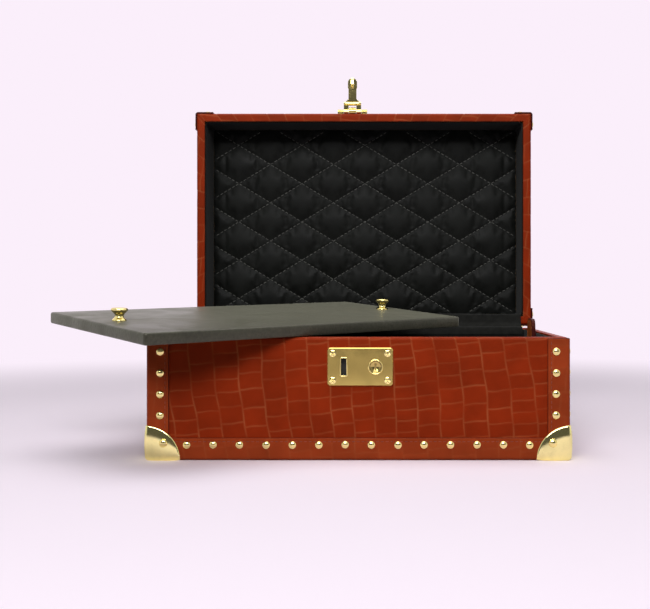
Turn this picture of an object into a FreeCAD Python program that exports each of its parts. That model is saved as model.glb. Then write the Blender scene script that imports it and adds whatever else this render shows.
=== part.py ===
import FreeCAD, Part
import math
import os
from FreeCAD import Placement, Rotation, Vector

# Leather train case standing on its underside with the lid open at a right angle.
# Frame: origin at the middle of the underside, +X to the right of someone facing the
# lock, +Y to the back, +Z up. All sizes in millimetres. Lid pieces are built on the
# shut case and then swung open about the hinge axis.

# Case as a whole
CASE_W = 320.0
CASE_D = 203.0
BASE_H = 93.0
LID_H = 54.0
RIM_GAP = 0.4

# Wall build-up, from the outside in
BRASS_T = 0.9
BAND_T = 1.5
LEATHER_T = 1.3
BOARD_T = 6.3
LINING_T = 1.0
FLOOR_T = 5.0
RIM_R = 2.2

# Leather bands along the edges
BAND_W = 17.0
BAND_FOOT = 13.5
BAND_R = 1.3
BAND_RIM_GAP = 0.8

# Brass corner caps and domed nails
CAP_R = 26.5
CAP_H = 60.0
CAP_EDGE = 1.2
CAP_SIDES = 32
NAIL_R = 2.9
NAIL_CROWN_R = 1.5
NAIL_H = 1.8
NAIL_SIDES = 6
NAIL_EDGE = 10.7
NAIL_ROW_Z = 11.8
NAIL_ROW_END = 30.7
NAIL_CAP_AT = 13.4
NAILS_LONG = 14
NAILS_SHORT = 8
BASE_POST_NAILS = (4, 34.0, 82.0)
LID_POST_NAILS = (2, 31.0, 44.0)

# Inside of the base
LEDGE_W = 16.0
LEDGE_T = 8.0
LEDGE_DROP = 10.0
TAB_T = 3.2
TAB_W = 30.7
TAB_Y = 26.0
TAB_DOWN = 34.0
TAB_UP = 10.6
TAB_R = 7.0
TAB_LID_GAP = 0.4

# Quilted pad in the lid
PAD_T = 5.7
PAD_GAP = 0.4
QUILT_W = 62.4
QUILT_H = 37.9
QUILT_LINES = 4
CHANNEL_HALF = 9.0
CHANNEL_MID = 4.0
CHANNEL_MID_DROP = 1.2
CHANNEL_DROP = 3.4

# Hinges with a stop at a right angle
HINGE_OFF = 3.0
HINGE_X = 92.0
HINGE_W = 44.0
LEAF_H = 20.0
LEAF_T = 1.5
LEAF_TOP = 2.6
KNUCKLE_R = 2.2
KNUCKLE_GAP = 0.3
HINGE_PIN_R = 1.2
PIN_PLAY = 0.05
STOP_REACH = 7.5
STOP_T = 2.0
STOP_GAP = 0.25
LEAF_SCREW_X = 14.0

# Cloth gusset over the hinge
GUSSET_T = 0.7
GUSSET_OFF = 0.25
GUSSET_HALF = 148.6
GUSSET_LID = 9.0
GUSSET_BASE = 6.0
GUSSET_STEP = 1.4

# Lock on the front wall
LOCK_X = 1.4
LOCK_Z = 70.6
LOCK_W = 50.0
LOCK_H = 29.0
LOCK_T = 1.8
LOCK_R = 2.6
LOCK_BEVEL = 0.7
LOCK_SCREW = (20.7, 10.2)
CASE_WALL = 1.0
CASE_HALF = (18.0, 11.6)
SLOT_X = -11.0
SLOT_W = 3.9
SLOT_H = 13.0
PLUG_X = 13.0
PLUG_R = 4.5
PLUG_RING_R = 5.6
PLUG_RING_H = 0.7
PLUG_LEN = 3.0
PLUG_SUNK = 0.3
KEYWAY = (1.5, 5.2, 1.6)
CRANK_R = 3.2
CRANK_PIN_R = 1.0
CRANK_LEN = 3.6
BOLT_T = 1.6
BOLT_H = 3.0
BOLT_Y = 97.4
BOLT_TIP = -8.7
BOLT_TAIL = (8.0, 18.0, 10.0)
BOLT_PLAY = 0.2
BOLT_GUIDE = (-6.0, -3.5)

# Hasp on the front wall of the lid
HASP_RISE = 4.2
HASP_OFF = 2.4
HASP_R = 1.9
HASP_PIN_R = 0.8
HASP_T = 2.2
HASP_W = 16.4
HASP_FORK = 7.4
HASP_LEG = 6.2
HASP_BAR = (7.6, 1.7)
HASP_FLARE = 12.0
HASP_NECK_W = 7.6
HASP_HEAD = (21.4, 8.7, 1.2)
HASP_TIP = 31.9
STAPLE_AT = 27.0
STAPLE_T = 2.4
STAPLE_H = 8.0
STAPLE_REACH = 7.6
EYE_H = 4.2
EYE_W = 2.6
HASP_LUG = (8.6, 13.9)
HASP_PLATE = (2.8, 12.0, 1.2)
HASP_BOSS_W = 6.6
HASP_BOSS_R = 3.9

# Handle on the lid top
HANDLE_X = 64.0
HANDLE_RISE = 8.0
GRIP_R = 6.0
GRIP_SIDES = 10
GRIP_LEG_X = 54.0
GRIP_REACH = 36.0
GRIP_BEND = 16.0
POST_T = 7.0
POST_R = 5.0
HANDLE_PIN_R = 2.5
PIN_HEAD = (3.6, 1.4)
MOUNT_FOOT = (24.0, 18.0, 1.6)

# Screws: head radius, head height, shank radius, shank length
SCREW_SIDES = 8
SCREW_CROWN = 0.6
SMALL_SCREW = (2.2, 0.7, 1.1, 6.0)
TINY_SCREW = (1.7, 0.6, 0.8, 4.0)

# Loose cover panel lying across the rim
PANEL_L = 297.0
PANEL_S = 160.0
PANEL_T = 8.8
PANEL_R = 2.0
PANEL_EASE = 0.9
PANEL_CORNER = Vector(-142.6, -182.6, 99.35)
PANEL_YAW = 40.1
PANEL_RISE_LONG = 0.0212
PANEL_RISE_SHORT = 0.074
KNOB_END = 20.5
KNOB_BASE_R = 5.3
KNOB_FOOT = 1.2
KNOB_NECK_R = 3.6
KNOB_NECK = 2.6
KNOB_WAIST_R = 3.0
KNOB_WAIST = 4.4
KNOB_LIP_R = 4.8
KNOB_LIP = 7.3
KNOB_TOP_R = 6.2
KNOB_RIM = 8.4
KNOB_FACE_R = 5.0
KNOB_H = 10.0
KNOB_SIDES = 20

# Sizes that follow
BAND_X = CASE_W / 2
BAND_Y = CASE_D / 2
BOX_X = BAND_X - BAND_T
BOX_Y = BAND_Y - BAND_T
CORE_X = BOX_X - LEATHER_T
CORE_Y = BOX_Y - LEATHER_T
CLEAR_X = CORE_X - BOARD_T
CLEAR_Y = CORE_Y - BOARD_T
ROOM_X = CLEAR_X - LINING_T
ROOM_Y = CLEAR_Y - LINING_T
FLOOR_TOP = BAND_T + FLOOR_T
HINGE_Y = BOX_Y + HINGE_OFF
HINGE_Z = BASE_H
LID_RIM = BASE_H + RIM_GAP
LID_TOP = LID_RIM + LID_H
HASP_Y = -(BOX_Y + HASP_OFF)
HASP_Z = LID_RIM + HASP_RISE
HANDLE_Z = LID_TOP + HANDLE_RISE

SIDES = ("front", "back", "left", "right")
PARTS = {}


def block(x0, x1, y0, y1, z0, z1):
    """Box between two corners."""
    return Part.makeBox(x1 - x0, y1 - y0, z1 - z0, Vector(x0, y0, z0))


def slab(half_x, half_y, z0, z1):
    """Box centred on the vertical axis."""
    return block(-half_x, half_x, -half_y, half_y, z0, z1)


def rod(start, end, radius):
    """Cylinder between two points."""
    run = end - start
    return Part.makeCylinder(radius, run.Length, start, run)


def prism(points, run):
    """Closed polygon carried straight along a vector."""
    return Part.Face(Part.makePolygon(points + points[:1])).extrude(run)


def fuse(shapes):
    """One solid from shapes that touch or cross."""
    return shapes[0].fuse(shapes[1:]).removeSplitter()


def opened(shape):
    """Swings a piece of the shut lid back by a right angle about the hinge."""
    turned = shape.copy()
    turned.rotate(Vector(0, HINGE_Y, HINGE_Z), Vector(1, 0, 0), -90)
    return turned


def as_lid(shape):
    """Turns a piece of an open box with its floor at zero into a piece of the open lid."""
    lifted = shape.translated(Vector(0, 0, LID_RIM - LID_H))
    return opened(lifted.mirror(Vector(0, 0, LID_RIM), Vector(0, 0, 1)))


def grouped(shapes):
    """Separate solids kept together under one name."""
    return Part.makeCompound(shapes)


def ring_points(seat, outward, radius, sides):
    """Corners of a regular polygon across an axis."""
    turn = Rotation(Vector(0, 0, 1), outward)
    angles = [2 * math.pi * step / sides for step in range(sides)]
    return [seat + turn.multVec(Vector(radius * math.cos(a), radius * math.sin(a), 0)) for a in angles]


def stud(seat, outward, foot_r, crown_r, height, sides):
    """Many-sided head that narrows from its foot to its crown."""
    foot = ring_points(seat, outward, foot_r, sides)
    crown = ring_points(seat + outward * height, outward, crown_r, sides)
    rings = [foot[::-1], crown]
    for here in range(sides):
        there = (here + 1) % sides
        rings.append([foot[here], foot[there], crown[there], crown[here]])
    return Part.Solid(Part.Shell([Part.Face(Part.makePolygon(ring + ring[:1])) for ring in rings]))


def screw(seat, outward, size):
    """Screw with its head on the seat and its shank driven inwards."""
    head_r, head_h, shank_r, shank_l = size
    head = stud(seat, outward, head_r, head_r * SCREW_CROWN, head_h, SCREW_SIDES)
    shank = prism(ring_points(seat, outward, shank_r, SCREW_SIDES), outward * -shank_l)
    return fuse([head, shank])


# Box of boards, leather, bands and caps, shared by the base and the lid

def box_boards(height):
    """Four wall boards butted at the corners, and the floor board let in between them."""
    top = height - LEATHER_T
    return {
        "front": block(-CORE_X, CORE_X, -CORE_Y, -CLEAR_Y, BAND_T, top),
        "back": block(-CORE_X, CORE_X, CLEAR_Y, CORE_Y, BAND_T, top),
        "left": block(-CORE_X, -CLEAR_X, -CLEAR_Y, CLEAR_Y, BAND_T, top),
        "right": block(CLEAR_X, CORE_X, -CLEAR_Y, CLEAR_Y, BAND_T, top),
        "floor": slab(CLEAR_X, CLEAR_Y, BAND_T, FLOOR_TOP),
    }


def mitre_sectors(height):
    """Four prisms that part the walls at 45 degrees through the corners."""
    out_x = BOX_X + BAND_T
    out_y = BOX_Y + BAND_T
    ridge = BOX_X - BOX_Y
    corners = {
        "front": [(-out_x, -out_y), (out_x, -out_y), (ridge, 0), (-ridge, 0)],
        "back": [(out_x, out_y), (-out_x, out_y), (-ridge, 0), (ridge, 0)],
        "left": [(-out_x, out_y), (-out_x, -out_y), (-ridge, 0)],
        "right": [(out_x, -out_y), (out_x, out_y), (ridge, 0)],
    }
    return {
        side: prism([Vector(x, y, 0) for x, y in points], Vector(0, 0, height + BAND_T))
        for side, points in corners.items()
    }


def box_leathers(height):
    """Leather on each wall, rolled over the rim and mitred at the corners, and on the floor."""
    outer = slab(BOX_X, BOX_Y, BAND_T, height)
    rim = [edge for edge in outer.Edges if edge.BoundBox.ZMin > height - LEATHER_T]
    outer = outer.makeFillet(RIM_R, rim)
    shell = outer.cut(slab(CORE_X, CORE_Y, 0, height - LEATHER_T))
    shell = shell.cut(slab(CLEAR_X, CLEAR_Y, 0, height + LEATHER_T))
    pieces = {side: shell.common(sector) for side, sector in mitre_sectors(height).items()}
    pieces["floor"] = slab(BAND_X - BAND_FOOT, BAND_Y - BAND_FOOT, 0, BAND_T)
    return pieces


def corner_signs():
    """Name and direction of each vertical corner."""
    return {
        "front_left": (-1, -1),
        "front_right": (1, -1),
        "back_left": (-1, 1),
        "back_right": (1, 1),
    }


def box_caps():
    """Pressed brass caps: a shell over each bottom corner whose three faces are quarter discs."""
    outer = slab(BAND_X + BRASS_T, BAND_Y + BRASS_T, 0, CAP_H)
    outer = outer.makeChamfer(CAP_EDGE, outer.Edges)
    shell = outer.cut(slab(BAND_X, BAND_Y, BRASS_T, CAP_H - BRASS_T))
    caps = {}
    for name, (sx, sy) in corner_signs().items():
        tip = Vector(sx * (BAND_X + BRASS_T), sy * (BAND_Y + BRASS_T), 0)
        cap = shell
        for axis in (Vector(1, 0, 0), Vector(0, 1, 0), Vector(0, 0, 1)):
            disc = ring_points(tip - axis * CAP_R, axis, CAP_R, CAP_SIDES)
            cap = cap.common(prism(disc, axis * 2 * CAP_R))
        caps[name] = cap
    return caps


def box_bands(height, caps):
    """Leather bands: angles up the corners, and angles along and under the bottom edges."""
    covers = list(caps.values())
    leather = slab(BOX_X, BOX_Y, 0, height)
    frame = slab(BAND_X, BAND_Y, 0, height - BAND_RIM_GAP)
    upright = [edge for edge in frame.Edges if edge.BoundBox.ZLength > BAND_W]
    low = [edge for edge in frame.Edges if edge.BoundBox.ZMax < BAND_W]
    corner_frame = frame.makeFillet(BAND_R, upright)
    foot_frame = frame.makeFillet(BAND_R, low)
    posts = []
    for sx, sy in corner_signs().values():
        near_x, far_x = sorted((sx * BAND_X, sx * (BAND_X - BAND_W)))
        near_y, far_y = sorted((sy * BAND_Y, sy * (BAND_Y - BAND_W)))
        post = corner_frame.common(block(near_x, far_x, near_y, far_y, BRASS_T, height))
        posts.append(post.cut(leather).cut(covers))
    above = slab(BOX_X, BOX_Y, BAND_T, height)
    long_x = BAND_X - BAND_W
    long_y = BAND_Y - BAND_W
    spans = [
        block(-long_x, long_x, -BAND_Y, -BAND_Y + BAND_FOOT, 0, BAND_W),
        block(-long_x, long_x, BAND_Y - BAND_FOOT, BAND_Y, 0, BAND_W),
        block(-BAND_X, -BAND_X + BAND_FOOT, -long_y, long_y, 0, BAND_W),
        block(BAND_X - BAND_FOOT, BAND_X, -long_y, long_y, 0, BAND_W),
    ]
    sills = [foot_frame.common(span).cut(above).cut(covers) for span in spans]
    return grouped(posts), grouped(sills)


def spread(count, low, high):
    """Evenly spaced values from low to high."""
    return [low + (high - low) * step / (count - 1) for step in range(count)]


def box_nails(post_nails):
    """Rows of nails along the bottom bands, up the corner bands and on the caps."""
    count, post_low, post_high = post_nails
    walls = (
        (BAND_X, BAND_Y, NAILS_LONG, lambda a, z, s, out: Vector(a, s * out, z), Vector(0, 1, 0)),
        (BAND_Y, BAND_X, NAILS_SHORT, lambda a, z, s, out: Vector(s * out, a, z), Vector(1, 0, 0)),
    )
    nails = []
    for half, reach, row_count, place, normal in walls:
        row_end = half - NAIL_ROW_END
        spots = [(along, NAIL_ROW_Z, 0) for along in spread(row_count, -row_end, row_end)]
        for end in (-1, 1):
            post = end * (half - NAIL_EDGE)
            spots += [(post, lift, 0) for lift in spread(count, post_low, post_high)]
            spots.append((end * (half - NAIL_CAP_AT), NAIL_CAP_AT, BRASS_T))
        for side in (-1, 1):
            for along, lift, proud in spots:
                seat = place(along, lift, side, reach + proud)
                nails.append(stud(seat, normal * side, NAIL_R, NAIL_CROWN_R, NAIL_H, NAIL_SIDES))
    return grouped(nails)


def box_lining(height, floor):
    """Cloth round the inside of the four walls."""
    top = height - LEATHER_T
    return slab(CLEAR_X, CLEAR_Y, floor, top).cut(slab(ROOM_X, ROOM_Y, floor, top))


# Base

def lock_screws():
    """Four screws near the corners of the lock plate."""
    dx, dz = LOCK_SCREW
    face = -(BOX_Y + LOCK_T)
    seats = [Vector(LOCK_X + sx * dx, face, LOCK_Z + sz * dz) for sx in (-1, 1) for sz in (-1, 1)]
    return [screw(seat, Vector(0, -1, 0), SMALL_SCREW) for seat in seats]


def lock_pocket():
    """Space in the front wall that the lock case fills."""
    half_x, half_z = CASE_HALF
    return block(LOCK_X - half_x, LOCK_X + half_x, -BOX_Y, -CLEAR_Y, LOCK_Z - half_z, LOCK_Z + half_z)


def lock_slot(y0, y1):
    """Slot for the staple of the hasp."""
    half_w = SLOT_W / 2
    half_h = SLOT_H / 2
    return block(SLOT_X - half_w, SLOT_X + half_w, y0, y1, LOCK_Z - half_h, LOCK_Z + half_h)


def lock_plate(screws):
    """Bevelled brass plate with a staple slot and a raised ring round the key plug."""
    face = -(BOX_Y + LOCK_T)
    plate = block(LOCK_X - LOCK_W / 2, LOCK_X + LOCK_W / 2, face, -BOX_Y,
                  LOCK_Z - LOCK_H / 2, LOCK_Z + LOCK_H / 2)
    along = [edge for edge in plate.Edges if edge.BoundBox.YLength > LOCK_T / 2]
    plate = plate.makeFillet(LOCK_R, along)
    front = [edge for edge in plate.Edges if edge.BoundBox.YMax < face + LOCK_T / 4]
    plate = plate.makeChamfer(LOCK_BEVEL, front)
    hub = Vector(PLUG_X, 0, LOCK_Z)
    ring = rod(hub + Vector(0, -BOX_Y, 0), hub + Vector(0, face - PLUG_RING_H, 0), PLUG_RING_R)
    hole = rod(hub, hub + Vector(0, face - LOCK_H, 0), PLUG_R + PIN_PLAY)
    plate = plate.fuse(ring).removeSplitter().cut(hole)
    return plate.cut(lock_slot(face - LOCK_T, 0)).cut(screws)


def lock_case():
    """Pressed box behind the plate, open to the front, with a guide for the bolt."""
    pocket = lock_pocket()
    half_x, half_z = CASE_HALF
    back = -CLEAR_Y - CASE_WALL
    room = block(LOCK_X - half_x + CASE_WALL, LOCK_X + half_x - CASE_WALL, -BOX_Y, back,
                 LOCK_Z - half_z + CASE_WALL, LOCK_Z + half_z - CASE_WALL)
    low_x, high_x = BOLT_GUIDE
    guide = block(low_x, high_x, -BOX_Y, back, LOCK_Z - half_z + CASE_WALL, LOCK_Z + half_z - CASE_WALL)
    half_t = BOLT_T / 2 + BOLT_PLAY
    half_h = BOLT_H / 2 + BOLT_PLAY
    window = block(low_x - CASE_WALL, high_x + CASE_WALL, -BOLT_Y - half_t, -BOLT_Y + half_t,
                   LOCK_Z - half_h, LOCK_Z + half_h)
    return pocket.cut(room).fuse(guide.cut(window)).removeSplitter()


def crank_centre():
    """Middle of the crank pin, up and to the right of the plug's axis while unlocked."""
    arm = CRANK_R * math.sqrt(0.5)
    return PLUG_X + arm, LOCK_Z + arm


def lock_cylinder():
    """Key plug with its keyway in front and a crank pin behind."""
    face = -(BOX_Y + LOCK_T) + PLUG_SUNK
    hub = Vector(PLUG_X, face, LOCK_Z)
    plug = rod(hub, hub + Vector(0, PLUG_LEN, 0), PLUG_R)
    width, height, depth = KEYWAY
    plug = plug.cut(block(PLUG_X - width / 2, PLUG_X + width / 2, face, face + depth,
                          LOCK_Z - height / 2, LOCK_Z + height / 2))
    x, z = crank_centre()
    start = Vector(x, face + PLUG_LEN, z)
    return plug.fuse(rod(start, start + Vector(0, CRANK_LEN, 0), CRANK_PIN_R)).removeSplitter()


def lock_bolt():
    """Flat bolt: a nose that passes through the staple and a tail slotted for the crank pin."""
    y0 = -BOLT_Y - BOLT_T / 2
    y1 = -BOLT_Y + BOLT_T / 2
    tail_x0, tail_x1, tail_h = BOLT_TAIL
    nose = block(BOLT_TIP, tail_x0, y0, y1, LOCK_Z - BOLT_H / 2, LOCK_Z + BOLT_H / 2)
    tail = block(tail_x0, tail_x1, y0, y1, LOCK_Z - tail_h / 2, LOCK_Z + tail_h / 2)
    x, z = crank_centre()
    half = CRANK_PIN_R + BOLT_PLAY
    rise = CRANK_R * (1 - math.sqrt(0.5))
    slot = block(x - half, x + half, y0, y1, z - half, z + rise + half)
    return fuse([nose, tail]).cut(slot)


def ledges():
    """Strips along the front and back walls that carry the cover panel."""
    top = BASE_H - LEDGE_DROP
    return grouped([
        block(-ROOM_X, ROOM_X, -ROOM_Y, -ROOM_Y + LEDGE_W, top - LEDGE_T, top),
        block(-ROOM_X, ROOM_X, ROOM_Y - LEDGE_W, ROOM_Y, top - LEDGE_T, top),
    ])


def guide_tab(side):
    """Stiff leather tab sewn inside a side wall, standing up to steer the lid."""
    outer = side * (ROOM_X - TAB_LID_GAP)
    x0, x1 = sorted((outer, outer - side * TAB_T))
    tab = block(x0, x1, TAB_Y - TAB_W / 2, TAB_Y + TAB_W / 2, BASE_H - TAB_DOWN, BASE_H + TAB_UP)
    tops = [edge for edge in tab.Edges
            if edge.BoundBox.XLength > TAB_T / 2 and edge.BoundBox.ZMin > BASE_H]
    tab = tab.makeFillet(TAB_R, tops)
    x0, x1 = sorted((outer, side * ROOM_X))
    packing = block(x0, x1, TAB_Y - TAB_W / 2, TAB_Y + TAB_W / 2, BASE_H - TAB_DOWN, BASE_H - LEATHER_T)
    return fuse([tab, packing])


# Hinges

def knuckle_spans(x):
    """Stretches of the barrel: the base has both ends and the lid the middle."""
    third = HINGE_W / 3
    low = x - HINGE_W / 2
    base = [(low, low + third - KNUCKLE_GAP), (low + 2 * third + KNUCKLE_GAP, low + HINGE_W)]
    return base, [(low + third, low + 2 * third)]


def hinge_leaf(x, spans, up):
    """Leaf on the back wall with its knuckles; up is 1 for the lid and -1 for the base."""
    z0, z1 = sorted((HINGE_Z + up * LEAF_TOP, HINGE_Z + up * (LEAF_TOP + LEAF_H)))
    leaf = block(x - HINGE_W / 2, x + HINGE_W / 2, BOX_Y, BOX_Y + LEAF_T, z0, z1)
    n0, n1 = sorted((HINGE_Z, HINGE_Z + up * LEAF_TOP))
    pieces = [leaf]
    for low, high in spans:
        pieces.append(block(low, high, BOX_Y, HINGE_Y, n0, n1))
        pieces.append(rod(Vector(low, HINGE_Y, HINGE_Z), Vector(high, HINGE_Y, HINGE_Z), KNUCKLE_R))
    body = fuse(pieces)
    bore = rod(Vector(x - HINGE_W, HINGE_Y, HINGE_Z), Vector(x + HINGE_W, HINGE_Y, HINGE_Z),
               HINGE_PIN_R + PIN_PLAY)
    return body.cut(bore)


def stop_lug(x):
    """Hook under the barrel that the lid leaf lands on when it is fully open."""
    half = HINGE_W / 6
    low = HINGE_Z - KNUCKLE_R - KNUCKLE_GAP - STOP_T
    shelf_top = low + STOP_T
    land = HINGE_Z + HINGE_OFF - LEAF_T - STOP_GAP
    back = HINGE_Y + STOP_REACH
    shelf = block(x - half, x + half, BOX_Y, back, low, shelf_top)
    upright = block(x - half, x + half, back - STOP_T, back, low, land)
    return fuse([shelf, upright])


def leaf_screws(x, up):
    """Two screws through a leaf."""
    z = HINGE_Z + up * (LEAF_TOP + LEAF_H / 2)
    seats = [Vector(x + s * LEAF_SCREW_X, BOX_Y + LEAF_T, z) for s in (-1, 1)]
    return [screw(seat, Vector(0, 1, 0), SMALL_SCREW) for seat in seats]


def hinge_gusset():
    """Cloth strip from the lid lining over both rims and down the base lining."""
    lid_face = HINGE_Z + HINGE_Y - ROOM_Y
    rim_face = HINGE_Y + RIM_GAP
    off = GUSSET_OFF
    thick = GUSSET_OFF + GUSSET_T
    near = [
        (rim_face + GUSSET_LID, lid_face + off),
        (rim_face - off, lid_face + off),
        (rim_face - off, BASE_H + HINGE_OFF + GUSSET_STEP),
        (BOX_Y - GUSSET_STEP, BASE_H + off),
        (ROOM_Y - off, BASE_H + off),
        (ROOM_Y - off, BASE_H - GUSSET_BASE),
    ]
    far = [
        (rim_face + GUSSET_LID, lid_face + thick),
        (rim_face - thick, lid_face + thick),
        (rim_face - thick, BASE_H + HINGE_OFF + GUSSET_STEP + GUSSET_T / 2),
        (BOX_Y - GUSSET_STEP - GUSSET_T / 2, BASE_H + thick),
        (ROOM_Y - thick, BASE_H + thick),
        (ROOM_Y - thick, BASE_H - GUSSET_BASE),
    ]
    outline = [Vector(-GUSSET_HALF, y, z) for y, z in near + far[::-1]]
    return prism(outline, Vector(2 * GUSSET_HALF, 0, 0))


# Lid furniture

def quilted_pad():
    """Pad on the inside of the lid top, sewn down along two crossing sets of channels."""
    half_x = ROOM_X - PAD_GAP
    half_y = ROOM_Y - PAD_GAP
    top = FLOOR_TOP + PAD_T
    pad = slab(half_x, half_y, FLOOR_TOP, top)
    reach = 2 * half_x
    section = [
        (-CHANNEL_HALF, 0), (-CHANNEL_MID, -CHANNEL_MID_DROP), (0, -CHANNEL_DROP),
        (CHANNEL_MID, -CHANNEL_MID_DROP), (CHANNEL_HALF, 0),
    ]
    channel = prism([Vector(-reach, y, z) for y, z in section], Vector(2 * reach, 0, 0))
    slope = math.degrees(math.atan2(QUILT_H, QUILT_W))
    cuts = []
    for turn in (-slope, slope):
        for step in range(-QUILT_LINES, QUILT_LINES + 1):
            place = Placement(Vector(step * QUILT_W, 0, top), Rotation(Vector(0, 0, 1), turn))
            cuts.append(channel.transformed(place.toMatrix()))
    for side in (-1, 1):
        along = Placement(Vector(0, side * half_y, top), Rotation())
        across = Placement(Vector(side * half_x, 0, top), Rotation(Vector(0, 0, 1), 90))
        cuts += [channel.transformed(along.toMatrix()), channel.transformed(across.toMatrix())]
    return pad.cut(cuts)


def hasp_tongue():
    """Forked swinging hasp with a cross bar, a neck, a round head and a staple behind it."""
    axis = Vector(SLOT_X, HASP_Y, HASP_Z)
    neck = HASP_NECK_W / 2
    flare = HASP_W / 2
    fork = HASP_FORK / 2
    head_at, head_w, shoulder = HASP_HEAD
    head = head_w / 2
    outline = [
        (-flare, 0), (-flare, HASP_BAR[0]), (-neck, HASP_FLARE), (-neck, head_at),
        (-head, head_at + shoulder), (-head, HASP_TIP - head), (0, HASP_TIP),
        (head, HASP_TIP - head), (head, head_at + shoulder),
        (neck, head_at), (neck, HASP_FLARE), (flare, HASP_BAR[0]), (flare, 0),
        (fork, 0), (fork, HASP_LEG), (-fork, HASP_LEG), (-fork, 0),
    ]
    points = [axis + Vector(x, 0, -s) for x, s in outline]
    edges = []
    for start, end in zip(points, points[1:] + points[:1]):
        edges.append(Part.LineSegment(start, end).toShape())
    tip = axis + Vector(0, 0, -HASP_TIP)
    left = axis + Vector(-head, 0, -(HASP_TIP - head))
    right = axis + Vector(head, 0, -(HASP_TIP - head))
    edges[5:7] = [Part.Arc(left, tip, right).toShape()]
    plate = Part.Face(Part.Wire(edges)).extrude(Vector(0, -HASP_T, 0))
    bar_at, bar_r = HASP_BAR
    middle = axis + Vector(0, -HASP_T, -bar_at)
    bar = rod(middle - Vector(flare, 0, 0), middle + Vector(flare, 0, 0), bar_r)
    bar = bar.common(block(SLOT_X - flare, SLOT_X + flare, HASP_Y - HASP_T - bar_r, HASP_Y,
                           HASP_Z - HASP_LEG - 2 * bar_r - bar_at, HASP_Z))
    knuckles = [rod(axis + Vector(side * fork, 0, 0), axis + Vector(side * flare, 0, 0), HASP_R)
                for side in (-1, 1)]
    body = fuse([plate, bar] + knuckles)
    bore = rod(axis - Vector(HASP_W, 0, 0), axis + Vector(HASP_W, 0, 0), HASP_PIN_R + PIN_PLAY)
    return fuse([body.cut(bore), staple(axis)])


def staple(axis):
    """Upright plate behind the hasp head with an eye across it for the bolt."""
    half_t = STAPLE_T / 2
    middle = axis.z - STAPLE_AT
    plate = block(axis.x - half_t, axis.x + half_t, axis.y, axis.y + STAPLE_REACH,
                  middle - STAPLE_H / 2, middle + STAPLE_H / 2)
    corners = [edge for edge in plate.Edges
               if edge.BoundBox.XLength > half_t and edge.BoundBox.YMin > axis.y + half_t]
    plate = plate.makeFillet(STAPLE_T, corners)
    eye = block(axis.x - STAPLE_T, axis.x + STAPLE_T, -BOLT_Y - EYE_W / 2, -BOLT_Y + EYE_W / 2,
                LOCK_Z - EYE_H / 2, LOCK_Z + EYE_H / 2)
    return plate.cut(eye)


def hasp_screws():
    """Two screws in the foot of the hasp."""
    rise = (HASP_PLATE[0] + HASP_PLATE[1]) / 2
    lug = sum(HASP_LUG) / 2
    face = -(BOX_Y + HASP_PLATE[2])
    seats = [Vector(SLOT_X + side * lug, face, HASP_Z + rise) for side in (-1, 1)]
    return [screw(seat, Vector(0, -1, 0), TINY_SCREW) for seat in seats]


def hasp_plate():
    """Foot of the hasp: a plate on the lid wall with a lug at each end of the pin and a boss in the fork."""
    low, high, thick = HASP_PLATE
    inner, outer = HASP_LUG
    axis = Vector(SLOT_X, HASP_Y, HASP_Z)
    pieces = [block(SLOT_X - outer, SLOT_X + outer, -(BOX_Y + thick), -BOX_Y, HASP_Z + low, HASP_Z + high)]
    for side in (-1, 1):
        x0, x1 = sorted((SLOT_X + side * inner, SLOT_X + side * outer))
        pieces.append(rod(Vector(x0, HASP_Y, HASP_Z), Vector(x1, HASP_Y, HASP_Z), HASP_R))
        pieces.append(block(x0, x1, HASP_Y, -BOX_Y, HASP_Z - HASP_R, HASP_Z + low))
    half = Vector(HASP_BOSS_W / 2, 0, 0)
    boss = rod(axis - half, axis + half, HASP_BOSS_R)
    room = block(SLOT_X - outer, SLOT_X + outer, HASP_Y - HASP_BOSS_R, -BOX_Y, HASP_Z - high, HASP_Z + high)
    pieces.append(boss.common(room))
    bore = rod(axis - Vector(outer, 0, 0), axis + Vector(outer, 0, 0), HASP_PIN_R)
    return fuse(pieces).cut(bore)


def handle_mount(side):
    """Foot on the lid top with a post whose eye takes the handle pin."""
    length, width, thick = MOUNT_FOOT
    x = side * HANDLE_X
    foot = block(x - length / 2, x + length / 2, -width / 2, width / 2, LID_TOP, LID_TOP + thick)
    upright = [edge for edge in foot.Edges if edge.BoundBox.ZLength > thick / 2]
    foot = foot.makeChamfer(width / 4, upright)
    post = block(x - POST_T / 2, x + POST_T / 2, -POST_R, POST_R, LID_TOP, HANDLE_Z)
    start = Vector(x - POST_T / 2, 0, HANDLE_Z)
    end = Vector(x + POST_T / 2, 0, HANDLE_Z)
    body = fuse([foot, post, rod(start, end, POST_R)])
    return body.cut(rod(start, end, HANDLE_PIN_R + PIN_PLAY))


def handle_pin(side):
    """Headed pin from the grip out through the mount."""
    head_r, head_t = PIN_HEAD
    inner = Vector(side * GRIP_LEG_X, 0, HANDLE_Z)
    outer = Vector(side * (HANDLE_X + POST_T / 2 + KNUCKLE_GAP), 0, HANDLE_Z)
    head = rod(outer, outer + Vector(side * head_t, 0, 0), head_r)
    return fuse([rod(inner, outer, HANDLE_PIN_R), head])


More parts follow.
